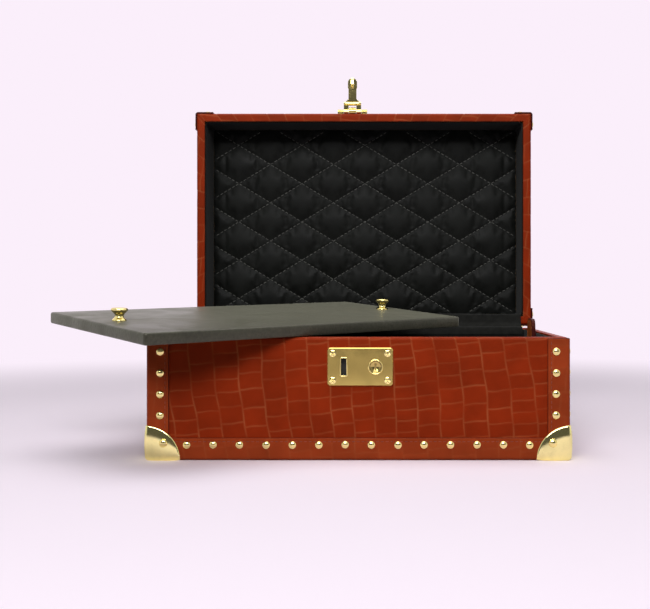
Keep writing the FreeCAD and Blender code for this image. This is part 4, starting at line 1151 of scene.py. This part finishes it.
def embossed_calf(tree, where, body, groove, paint):
    """Drum-dyed calf pressed with a crocodile plate and glazed: dark scales, paler grooves, soft gloss,
    fine pores, and painted cut edges."""
    line, tone, edge = (add(tree, "Attribute", attribute_name=key).outputs["Fac"]
                        for key in ("groove", "tone", "paint"))
    cloud = add(tree, "TexNoise", {"Vector": where, "Scale": 1 / (22 * MM), "Detail": 4.0}).outputs["Fac"]
    pore = add(tree, "TexNoise", {"Vector": where, "Scale": 1 / (0.9 * MM), "Detail": 3.0}).outputs["Fac"]
    paler_grooves = add(tree, "Mix", {0: line, 6: body, 7: groove}, data_type="RGBA").outputs[2]
    value = add(tree, "MapRange", {"Value": tone, "To Min": 0.91, "To Max": 1.09}).outputs["Result"]
    shade = add(tree, "MapRange", {"Value": cloud, "From Min": 0.3, "From Max": 0.7,
                                   "To Min": 0.87, "To Max": 1.15}).outputs["Result"]
    light = add(tree, "Math", {0: value, 1: shade}, operation="MULTIPLY").outputs[0]
    dyed = add(tree, "HueSaturation", {"Value": light, "Color": paler_grooves}).outputs["Color"]
    painted = add(tree, "Mix", {0: edge, 6: dyed, 7: paint}, data_type="RGBA").outputs[2]
    gloss = add(tree, "MapRange", {"Value": pore, "From Min": 0.3, "From Max": 0.7,
                                   "To Min": 0.36, "To Max": 0.5}).outputs["Result"]
    grain = add(tree, "Bump", {"Height": pore, "Strength": 0.22, "Distance": 0.1 * MM}).outputs["Normal"]
    skin = add(tree, "BsdfPrincipled", {"Base Color": painted, "Roughness": gloss, "Normal": grain,
                                        "Specular IOR Level": 0.22, "Specular Tint": linear("#F0A07C")})
    return skin.outputs["BSDF"]


def polished_brass(tree, where, tint, rough):
    """Pressed yellow brass, buffed and lacquered: mirror gloss with faint haze and fine scratches. Rougher
    and in other tints it is the dull brass of the plug and the pressed steel of the lock."""
    haze = add(tree, "TexNoise", {"Vector": where, "Scale": 1 / (9 * MM), "Detail": 5.0}).outputs["Fac"]
    fine = add(tree, "TexNoise", {"Vector": where, "Scale": 1 / (0.6 * MM), "Detail": 2.0}).outputs["Fac"]
    mottle = add(tree, "MapRange", {"Value": haze, "From Min": 0.45, "From Max": 0.8}).outputs["Result"]
    metal = add(tree, "Mix", {0: mottle, 6: tint, 7: toned(tint, 0.85)}, data_type="RGBA").outputs[2]
    gloss = add(tree, "MapRange", {"Value": haze, "From Min": 0.3, "From Max": 0.7,
                                   "To Min": rough, "To Max": rough + 0.05}).outputs["Result"]
    marks = add(tree, "Bump", {"Height": fine, "Strength": 0.04, "Distance": 0.05 * MM}).outputs["Normal"]
    skin = add(tree, "BsdfPrincipled", {"Base Color": metal, "Metallic": 1.0, "Roughness": gloss,
                                        "Normal": marks})
    return skin.outputs["BSDF"]


def woven_lining(tree, where, cloth):
    """Black twill lining glued to the walls: fine diagonal ribs, drawn at 1.2 mm to show, and lint."""
    ribs = add(tree, "TexWave", {"Vector": where, "Scale": 1 / (20 * 1.2 * MM), "Distortion": 1.0,
                                 "Detail": 1.0}, bands_direction="DIAGONAL").outputs["Fac"]
    lint = add(tree, "TexNoise", {"Vector": where, "Scale": 1 / (6 * MM), "Detail": 6.0}).outputs["Fac"]
    amount = add(tree, "MapRange", {"Value": lint, "From Min": 0.35, "From Max": 0.75,
                                    "To Max": 0.7}).outputs["Result"]
    dyed = add(tree, "Mix", {0: amount, 6: cloth, 7: toned(cloth, 1.8, 0.004)}, data_type="RGBA").outputs[2]
    weave = add(tree, "Bump", {"Height": ribs, "Strength": 0.35, "Distance": 0.12 * MM}).outputs["Normal"]
    skin = add(tree, "BsdfPrincipled", {"Base Color": dyed, "Roughness": 0.85, "Specular IOR Level": 0.12,
                                        "Sheen Weight": 0.05, "Sheen Roughness": 0.5, "Normal": weave})
    return skin.outputs["BSDF"]


def black_satin(tree, where, cloth):
    """Black satin on the quilting: a smooth face with a soft shine and a fine weave, drawn at 0.9 mm
    to show."""
    weave = add(tree, "TexWave", {"Vector": where, "Scale": 1 / (20 * 0.9 * MM), "Distortion": 0.6},
                bands_direction="X").outputs["Fac"]
    worn = add(tree, "TexNoise", {"Vector": where, "Scale": 1 / (14 * MM), "Detail": 4.0}).outputs["Fac"]
    amount = add(tree, "MapRange", {"Value": worn, "From Min": 0.35, "From Max": 0.7}).outputs["Result"]
    dyed = add(tree, "Mix", {0: amount, 6: cloth, 7: toned(cloth, 1.5, 0.002)}, data_type="RGBA").outputs[2]
    gloss = add(tree, "MapRange", {"Value": worn, "From Min": 0.3, "From Max": 0.7,
                                   "To Min": 0.44, "To Max": 0.56}).outputs["Result"]
    ribs = add(tree, "Bump", {"Height": weave, "Strength": 0.15, "Distance": 0.08 * MM}).outputs["Normal"]
    skin = add(tree, "BsdfPrincipled", {"Base Color": dyed, "Roughness": gloss, "Specular IOR Level": 0.1,
                                        "Normal": ribs})
    return skin.outputs["BSDF"]


def brushed_suede(tree, where, nap):
    """Split suede glued over a board: a matt nap with brushed patches and a soft sheen."""
    brushed = add(tree, "TexNoise", {"Vector": where, "Scale": 1 / (35 * MM), "Detail": 5.0,
                                     "Distortion": 0.6}).outputs["Fac"]
    fibre = add(tree, "TexNoise", {"Vector": where, "Scale": 1 / (2.2 * MM), "Detail": 5.0}).outputs["Fac"]
    amount = add(tree, "MapRange", {"Value": brushed, "From Min": 0.35, "From Max": 0.65}).outputs["Result"]
    patched = add(tree, "Mix", {0: amount, 6: toned(nap, 0.6), 7: nap}, data_type="RGBA").outputs[2]
    flecks = add(tree, "MapRange", {"Value": fibre, "From Min": 0.3, "From Max": 0.7,
                                    "To Min": 0.6, "To Max": 1.4}).outputs["Result"]
    dyed = add(tree, "HueSaturation", {"Value": flecks, "Color": patched}).outputs["Color"]
    raised = add(tree, "Bump", {"Height": fibre, "Strength": 0.7, "Distance": 0.3 * MM}).outputs["Normal"]
    worn = add(tree, "MapRange", {"Value": brushed, "From Min": 0.35, "From Max": 0.65,
                                  "To Min": 0.5, "To Max": 0.32}).outputs["Result"]
    skin = add(tree, "BsdfPrincipled", {"Base Color": dyed, "Roughness": worn, "Normal": raised,
                                        "Specular Tint": linear("#FBFAE6"), "Sheen Weight": 0.3,
                                        "Sheen Roughness": 0.5, "Sheen Tint": linear("#FBFADE")})
    return skin.outputs["BSDF"]


def spun_thread(tree, where, tint):
    """Waxed sewing thread: a twisted strand with a dull shine, its twist drawn at 0.8 mm to show."""
    twist = add(tree, "TexWave", {"Vector": where, "Scale": 1 / (20 * 0.8 * MM), "Distortion": 2.0},
                bands_direction="DIAGONAL").outputs["Fac"]
    strand = add(tree, "Mix", {0: twist, 6: toned(tint, 0.6), 7: tint}, data_type="RGBA").outputs[2]
    skin = add(tree, "BsdfPrincipled", {"Base Color": strand, "Roughness": 0.6, "Sheen Weight": 0.2})
    return skin.outputs["BSDF"]


def birch_ply(tree, where, wood):
    """Birch plywood under the leather: pale wood with long soft grain."""
    long = add(tree, "Mapping", {"Vector": where, "Scale": (0.08, 1, 1)}).outputs["Vector"]
    grain = add(tree, "TexNoise", {"Vector": long, "Scale": 1 / (2 * MM), "Detail": 4.0}).outputs["Fac"]
    figure = add(tree, "Mix", {0: grain, 6: toned(wood, 0.7), 7: wood}, data_type="RGBA").outputs[2]
    skin = add(tree, "BsdfPrincipled", {"Base Color": figure, "Roughness": 0.7})
    return skin.outputs["BSDF"]


def seamless_paper(tree, where, tint):
    """Matt paper sweep of the stage. Away from the case it shows its plain colour to the camera, and
    behind the case to mirrors; near the case it takes light and shadow. It throws back less light than
    it shows, and mirrors see its colour darkened in front: painted shade standing in for the dark studio."""
    back = add(tree, "SeparateXYZ", {"Vector": where}).outputs["Y"]
    path = add(tree, "LightPath")
    lens = path.outputs["Is Camera Ray"]
    mirrors = add(tree, "Math", {0: path.outputs["Is Glossy Ray"], 1: path.outputs["Is Transmission Ray"]},
                  operation="ADD").outputs[0]
    seen = add(tree, "Math", {0: lens, 1: mirrors}, operation="ADD", use_clamp=True).outputs[0]
    behind = add(tree, "MapRange", {"Value": back, "From Min": 0.3, "From Max": 1.1},
                 interpolation_type="SMOOTHSTEP").outputs["Result"]
    reach = add(tree, "VectorMath", {0: where}, operation="LENGTH").outputs["Value"]
    around = add(tree, "MapRange", {"Value": reach, "From Min": 0.5, "From Max": 1.2},
                 interpolation_type="SMOOTHSTEP").outputs["Result"]
    far = add(tree, "Mix", {0: lens, 2: behind, 3: around}).outputs[0]
    plain = add(tree, "Math", {0: seen, 1: far}, operation="MULTIPLY", use_clamp=True).outputs[0]
    fibre = add(tree, "TexNoise", {"Vector": where, "Scale": 1 / 0.4, "Detail": 2.0}).outputs["Fac"]
    even = add(tree, "MapRange", {"Value": fibre, "To Min": 0.99, "To Max": 1.01}).outputs["Result"]
    shade = add(tree, "HueSaturation", {"Value": even, "Color": tint}).outputs["Color"]
    # Painted shade: mirrors see the paper's colour fall to 38 percent towards the front, standing in for a
    # dark studio there
    near = add(tree, "MapRange", {"Value": back, "From Min": -0.95, "From Max": -0.5,
                                  "To Min": 0.38, "To Max": 1.0}).outputs["Result"]
    near = add(tree, "Math", {0: near, 1: lens}, operation="MAXIMUM").outputs[0]
    shade = add(tree, "HueSaturation", {"Value": near, "Color": shade}).outputs["Color"]
    thrown = add(tree, "Mix", {0: seen, 6: linear("#949494"), 7: shade}, data_type="RGBA").outputs[2]
    skin = add(tree, "BsdfPrincipled", {"Base Color": thrown, "Roughness": 1.0, "Specular IOR Level": 0.0})
    glow = add(tree, "Emission", {"Color": tint, "Strength": 1.0})
    both = add(tree, "MixShader", {0: plain, 1: skin.outputs["BSDF"], 2: glow.outputs["Emission"]})
    return both.outputs["Shader"]


# Each finish: how it is made, its colours, and a metal's roughness
FINISHES = {
    "embossed_calf": (embossed_calf, ("leather", "groove", "paint")),
    "band_calf": (embossed_calf, ("band", "groove", "paint")),
    "natural_calf": (embossed_calf, ("tab", "groove", "paint")),
    "polished_brass": (polished_brass, ("brass",), 0.04),
    "lacquered_brass": (polished_brass, ("cap",), 0.06),
    "plate_brass": (polished_brass, ("plate",), 0.06),
    "dull_brass": (polished_brass, ("plug",), 0.12),
    "pressed_steel": (polished_brass, ("steel",), 0.5),
    "woven_lining": (woven_lining, ("lining",)),
    "gusset_twill": (woven_lining, ("gusset",)),
    "black_satin": (black_satin, ("satin",)),
    "brushed_suede": (brushed_suede, ("suede",)),
    "red_thread": (spun_thread, ("band",)),
    "grey_thread": (spun_thread, ("thread",)),
    "tan_thread": (spun_thread, ("tab",)),
    "birch_ply": (birch_ply, ("board",)),
    "seamless_paper": (seamless_paper, ("paper",)),
}


def finish_of(name, colours):
    """A finish of the table, laid out on the object's coordinates once and then found by its name."""
    material = bpy.data.materials.get(name)
    if material is None:
        make, tints, *rough = FINISHES[name]
        material = bpy.data.materials.new(name)
        material.use_nodes = True
        tree = material.node_tree
        tree.nodes.clear()
        where = add(tree, "TexCoord").outputs["Object"]
        surface = make(tree, where, *(getattr(colours, tint) for tint in tints), *rough)
        add(tree, "OutputMaterial", {"Surface": surface})
    return material


def case_settings(context):
    """The sizes and colours kept in the scene."""
    return context.scene.train_case_sizes, context.scene.train_case_colours


# Operators

class CASE_OT_leather(bpy.types.Operator):
    """Make the embossed leather of the walls, the lid top and the floor"""

    bl_idname = "train_case.leather"
    bl_label = "Embossed leather"

    def execute(self, context):
        sizes, colours = case_settings(context)
        skin = finish_of("embossed_calf", colours)
        lock_front = [0, 3 * MM, 0]
        boxes = (("base", BASE_H, WALL_SEEDS[0], "base_floor_leather", 2 * sizes.band_pitch),
                 ("lid", LID_H, WALL_SEEDS[1], "lid_top_leather", sizes.band_pitch))
        for part, height, seed, flat, pitch in boxes:
            for quarter, side in enumerate(("front", "right", "back", "left")):
                half, reach = wall_reach(quarter, BOX_X, BOX_Y)
                wall = wall_leather(height, half, reach, sizes, seed + quarter)
                wall = wall.moved(lambda p, q=quarter: turned(p, q))
                node = part + "_" + side + "_leather"
                mesh = mesh_of(node + "_skin", on_part(wall, part))
                if node == "base_front_leather":
                    low, high = span("lock_case")
                    mesh = drilled(mesh, low - lock_front, high)
                    mesh.name = node + "_skin"
                place(node + "_skin", mesh, part, skin, (node,))
            panel = flat_leather(BAND_X - sizes.band_foot, BAND_Y - sizes.band_foot, sizes, pitch, FLAT_SEED)
            build(flat + "_skin", part, skin, on_part(panel, part), (flat,))
        return {"FINISHED"}


class CASE_OT_bands(bpy.types.Operator):
    """Make the leather bands along the edges and their stitches"""

    bl_idname = "train_case.bands"
    bl_label = "Edge bands"

    def execute(self, context):
        sizes, colours = case_settings(context)
        skin, thread = finish_of("band_calf", colours), finish_of("red_thread", colours)
        for part, height, foot in (("base", BASE_H, "base_bottom_bands"), ("lid", LID_H, "lid_top_bands")):
            pieces = (
                ("_corner_band_skins", skin, corner_bands(height, sizes, POST_SEED),
                 (part + "_corner_bands",)),
                ("_edge_band_skins", skin, foot_bands(sizes, SILL_SEED), (foot,)),
                ("_band_stitches", thread, band_stitches(height, sizes), ()),
            )
            for name, material, shape, nodes in pieces:
                build(part + name, part, material, on_part(shape, part), nodes)
        return {"FINISHED"}


class CASE_OT_brass(bpy.types.Operator):
    """Make the brass corner caps and the domed nails"""

    bl_idname = "train_case.brass"
    bl_label = "Caps and nails"

    def execute(self, context):
        sizes, colours = case_settings(context)
        brass, bright = finish_of("polished_brass", colours), finish_of("lacquered_brass", colours)
        corners = ("front_right", "back_right", "back_left", "front_left")
        for part, low, high, count in (("base", 34 * MM, 82 * MM, 4), ("lid", 31 * MM, 44 * MM, 2)):
            for corner, cap in zip(corners, corner_caps(sizes)):
                node = part + "_brass_corner_" + corner
                build(node + "_cap", part, bright, on_part(cap, part), (node,), SHARP_BRASS)
            studs = on_part(nails(*nail_seats(low, high, count), sizes), part)
            build(part + "_domed_nails", part, brass, studs, (part + "_nails",), SHARP_BRASS)
        return {"FINISHED"}


class CASE_OT_linings(bpy.types.Operator):
    """Line the base and the lid, cover the ledges, and finish the boards"""

    bl_idname = "train_case.linings"
    bl_label = "Linings and boards"

    def execute(self, context):
        sizes, colours = case_settings(context)
        cloth = finish_of("woven_lining", colours)
        base_top = span("base_wall_lining")[1][2]
        lid_top = LID_H - (BASE_H - base_top)
        linings = (
            ("base_wall_cloth", "base", wall_lining(base_top, sizes), "base_wall_lining"),
            ("lid_wall_cloth", "lid", on_part(wall_lining(lid_top, sizes), "lid"), "lid_wall_lining"),
            ("base_floor_cloth", "base", floor_cloth(), "base_floor_lining"),
            ("base_ledge_cloth", "base", ledge_bars(), "base_panel_ledges"),
        )
        for name, part, shape, node in linings:
            build(name, part, cloth, shape, (node,))
        wood = finish_of("birch_ply", colours)
        for part, flat in (("base", "floor"), ("lid", "top")):
            dress(wood, *(part + "_" + side + "_board" for side in ("front", "back", "left", "right", flat)))
        return {"FINISHED"}


class CASE_OT_quilt(bpy.types.Operator):
    """Make the quilted pad in the lid and its stitches"""

    bl_idname = "train_case.quilt"
    bl_label = "Quilted pad"

    def execute(self, context):
        sizes, colours = case_settings(context)
        pad = build("lid_quilted_pad_cloth", "lid", finish_of("black_satin", colours),
                    pad_shape(sizes), ("lid_quilted_pad",), SHARP_PAD)
        build("lid_quilt_stitches", "lid", finish_of("grey_thread", colours),
              quilt_stitches(sizes))
        return {"FINISHED"}


class CASE_OT_gusset(bpy.types.Operator):
    """Make the cloth gusset over the hinge line"""

    bl_idname = "train_case.gusset"
    bl_label = "Hinge gusset"

    def execute(self, context):
        sizes, colours = case_settings(context)
        shape, flat = gusset_shape(sizes)
        strip = build("hinge_gusset_cloth", None, finish_of("gusset_twill", colours), shape,
                      ("hinge_gusset",))
        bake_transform(strip)
        return {"FINISHED"}


class CASE_OT_tabs(bpy.types.Operator):
    """Make the leather tabs inside the side walls"""

    bl_idname = "train_case.tabs"
    bl_label = "Guide tabs"

    def execute(self, context):
        sizes, colours = case_settings(context)
        build("guide_tab_leather", "base", finish_of("natural_calf", colours),
              tab_shapes(sizes), ("lid_guide_tabs",))
        build("guide_tab_stitches", "base", finish_of("tan_thread", colours),
              tab_stitches(sizes))
        return {"FINISHED"}


class CASE_OT_lock(bpy.types.Operator):
    """Finish the lock: plate, plug, screws, case and bolt"""

    bl_idname = "train_case.lock"
    bl_label = "Lock"

    def execute(self, context):
        sizes, colours = case_settings(context)
        brass = finish_of("polished_brass", colours)
        eased_copy("lock_plate", "base", finish_of("plate_brass", colours), ease=0.35)
        face = span("lock_plate")[0][1] + PLATE_FACE
        low, high = span("lock_cylinder")
        hub = np.array([low[0] + PLUG_R, face, high[2] - PLUG_R])
        slot = np.array([SLOT_AT[0], face, SLOT_AT[1]])

        def stand(shape, centre):
            """Turns the axis of a flat or lathe form towards the front of the case, at a centre."""
            return shape.moved(lambda p: centre + np.stack([p[:, 0], -p[:, 2], p[:, 1]], -1))

        dish, ring = plug_face()
        plug = drilled(mesh_of("lock_plug", stand(dish, hub)), hub - [KEYHOLE_X, KEYHOLE_PROUD, KEYHOLE_Z],
                       hub + [KEYHOLE_X, KEYHOLE_DEPTH, KEYHOLE_Z])
        place("lock_plug", plug, "lock_cylinder", finish_of("dull_brass", colours),
              ("lock_cylinder",))
        build("lock_plug_ring", "base", brass, stand(ring, hub))
        build("lock_slot_bead", "base", brass, stand(slot_bead(*SLOT_HALF), slot))
        low, high = span("lock_screws")
        inset = (high[0] - low[0]) / 2 - LOCK_SCREW_X
        seats = [(x, face, z) for x in (low[0] + inset, high[0] - inset)
                 for z in (low[2] + inset, high[2] - inset)]
        heads = screw_heads(seats, (0, -1.0, 0), sizes.screw_r, sizes.screw_h)
        build("lock_screw_heads", "base", brass, heads, ("lock_screws",))
        dress(finish_of("pressed_steel", colours), "lock_case", "lock_bolt")
        return {"FINISHED"}


class CASE_OT_hasp(bpy.types.Operator):
    """Finish the hasp: tongue, foot, pin and screws"""

    bl_idname = "train_case.hasp"
    bl_label = "Hasp"

    def execute(self, context):
        colours = case_settings(context)[1]
        brass = finish_of("polished_brass", colours)
        lean_staple(eased_copy("hasp_tongue", "hasp", brass, ease=0.3).data)
        build("hasp_cross_bar", "hasp", brass, cross_bar())
        eased_copy("hasp_plate", "lid", finish_of("dull_brass", colours))
        dress(brass, "hasp_pin", "hasp_screws")
        return {"FINISHED"}


class CASE_OT_hinges(bpy.types.Operator):
    """Finish the hinges: leaves, pins and screws"""

    bl_idname = "train_case.hinges"
    bl_label = "Hinges"

    def execute(self, context):
        sizes, colours = case_settings(context)
        brass = finish_of("polished_brass", colours)
        across = [s * sizes.hinge_x + o * sizes.leaf_screw_x for s in (-1, 1) for o in (-1, 1)]
        base_y = span("hinge_base_screws")[1][1] - LEAF_SCREW_H
        low, high = span("hinge_lid_screws")
        leaves = (("base", base_y, BASE_H - sizes.leaf_screw_drop, (0, 1.0, 0)),
                  ("lid", (low[1] + high[1]) / 2, low[2] + LEAF_SCREW_H, (0, 0, -1.0)))
        for part, y, z, way in leaves:
            eased_copy("hinge_" + part + "_leaves", part, brass)
            heads = screw_heads([(x, y, z) for x in across], way, sizes.screw_r, sizes.screw_h)
            build("hinge_" + part + "_screw_heads", part, brass, heads,
                  ("hinge_" + part + "_screws",))
        dress(brass, "hinge_pins")
        return {"FINISHED"}


class CASE_OT_handle(bpy.types.Operator):
    """Make the carrying handle: grip, stitches, mounts and pins"""

    bl_idname = "train_case.handle"
    bl_label = "Handle"

    def execute(self, context):
        sizes, colours = case_settings(context)
        brass = finish_of("polished_brass", colours)
        build("handle_grip_leather", "handle", finish_of("band_calf", colours),
              grip_shape(sizes), ("handle_grip",))
        build("handle_grip_stitches", "handle", finish_of("red_thread", colours),
              grip_stitches(sizes))
        eased_copy("handle_mounts", "lid", brass, ease=0.5)
        eased_copy("handle_pins", "handle", brass, ease=0.4)
        return {"FINISHED"}


class CASE_OT_cover_panel(bpy.types.Operator):
    """Make the loose cover panel and its knobs"""

    bl_idname = "train_case.cover_panel"
    bl_label = "Cover panel"

    def execute(self, context):
        sizes, colours = case_settings(context)
        build("cover_panel_suede", "panel", finish_of("brushed_suede", colours),
              panel_shape(sizes), ("cover_panel",))
        build("cover_panel_knobs", "panel", finish_of("polished_brass", colours),
              knob_shapes(sizes), ("panel_knobs",))
        return {"FINISHED"}


class CASE_OT_stage(bpy.types.Operator):
    """Set up the paper sweep, the soft lights and the camera"""

    bl_idname = "train_case.stage"
    bl_label = "Stage"

    def execute(self, context):
        scene, colours = context.scene, case_settings(context)[1]
        sweep = bpy.data.objects.new("paper_sweep", self.sweep_mesh())
        sweep.data.materials.append(finish_of("seamless_paper", colours))
        scene.collection.objects.link(sweep)
        for softbox in SOFTBOXES:
            scene.collection.objects.link(self.lamp(*softbox))
        scene.world = bpy.data.worlds.new("studio")
        scene.world.use_nodes = True
        self.room(scene.world.node_tree, colours.paper)
        camera = bpy.data.objects.new("camera", bpy.data.cameras.new("camera"))
        camera.data.sensor_width = SENSOR_W
        camera.data.lens = SENSOR_W * FOCAL_PX / IMAGE_W
        camera.data.shift_x = (IMAGE_W / 2 - CENTRE_PX[0]) / IMAGE_W
        camera.data.shift_y = (CENTRE_PX[1] - IMAGE_H / 2) / IMAGE_W
        camera.location = CAMERA_AT
        camera.rotation_euler = (math.pi / 2, 0, 0)
        scene.collection.objects.link(camera)
        scene.camera = camera
        scene.view_settings.view_transform = "Standard"
        return {"FINISHED"}

    def sweep_mesh(self):
        """Paper sweep in metres: a floor, a quarter turn and an upright back, carried along x."""
        front, back, bend, top, half = -2.0, 1.6, 0.7, 3.2, 3.5
        a = np.linspace(0, math.pi / 2, 13)
        y = np.concatenate([[front], back + bend * np.sin(a), [back + bend]])
        z = np.concatenate([[0], bend * (1 - np.cos(a)), [top]])
        x = np.array([-half, half])
        points = np.stack(np.broadcast_arrays(x[:, None], y[None], z[None]), -1).reshape(-1, 3)
        mesh = bpy.data.meshes.new("paper_sweep")
        mesh.from_pydata(points.tolist(), [], grid_quads(2, len(y), round_cols=False)[:, ::-1].tolist())
        mesh.polygons.foreach_set("use_smooth", np.ones(len(mesh.polygons), bool))
        return mesh

    def room(self, tree, paper):
        """Dim even light, pale walls to either side that only mirrors see, and plain paper for the camera."""
        sky = tree.nodes["Background"].inputs
        way = add(tree, "TexCoord").outputs["Generated"]
        front = add(tree, "SeparateXYZ", {"Vector": way}).outputs["Y"]
        walls = add(tree, "MapRange", {"Value": front, "From Min": -0.9, "From Max": -0.45,
                                       "To Min": ROOM_LEVEL, "To Max": ROOM_WALLS},
                    interpolation_type="SMOOTHSTEP").outputs["Result"]
        path = add(tree, "LightPath")
        lens = path.outputs["Is Camera Ray"]
        level = add(tree, "Mix", {0: path.outputs["Is Glossy Ray"], 2: ROOM_LEVEL, 3: walls}).outputs[0]
        level = add(tree, "Mix", {0: lens, 2: level, 3: 1.0}).outputs[0]
        tint = add(tree, "Mix", {0: lens, 6: (1, 1, 1, 1), 7: paper}, data_type="RGBA").outputs[2]
        tree.links.new(level, sky["Strength"])
        tree.links.new(tint, sky["Color"])

    def lamp(self, name, at, towards, wide, high, power):
        """A rectangular soft light turned towards a point."""
        data = bpy.data.lights.new(name, "AREA")
        data.shape = "RECTANGLE"
        data.size, data.size_y = wide, high
        data.energy = power
        lamp = bpy.data.objects.new(name, data)
        lamp.location = at
        way = Vector(towards) - lamp.location
        lamp.rotation_euler = way.to_track_quat("-Z", "Y").to_euler()
        return lamp


OPERATORS = (CASE_OT_leather, CASE_OT_bands, CASE_OT_brass, CASE_OT_linings, CASE_OT_quilt,
             CASE_OT_gusset, CASE_OT_tabs, CASE_OT_lock, CASE_OT_hasp, CASE_OT_hinges, CASE_OT_handle,
             CASE_OT_cover_panel, CASE_OT_stage)


class CASE_PT_panel(bpy.types.Panel):
    """Buttons for the pieces of the train case"""

    bl_idname = "CASE_PT_panel"
    bl_label = "Train case"
    bl_space_type = "VIEW_3D"
    bl_region_type = "UI"
    bl_category = "Train case"

    def draw(self, context):
        for operator in OPERATORS:
            self.layout.operator(operator.bl_idname)


CLASSES = (CaseSizes, CaseColours) + OPERATORS + (CASE_PT_panel,)


def register():
    """Registers the classes and the settings."""
    for cls in CLASSES:
        bpy.utils.register_class(cls)
    bpy.types.Scene.train_case_sizes = PointerProperty(type=CaseSizes)
    bpy.types.Scene.train_case_colours = PointerProperty(type=CaseColours)


def unregister():
    """Takes the settings and the classes away again."""
    del bpy.types.Scene.train_case_colours
    del bpy.types.Scene.train_case_sizes
    for cls in reversed(CLASSES):
        bpy.utils.unregister_class(cls)


def main():
    """Makes every piece."""
    register()
    for operator in OPERATORS:
        group, name = operator.bl_idname.split(".")
        getattr(getattr(bpy.ops, group), name)()


if __name__ == "__main__":
    main()
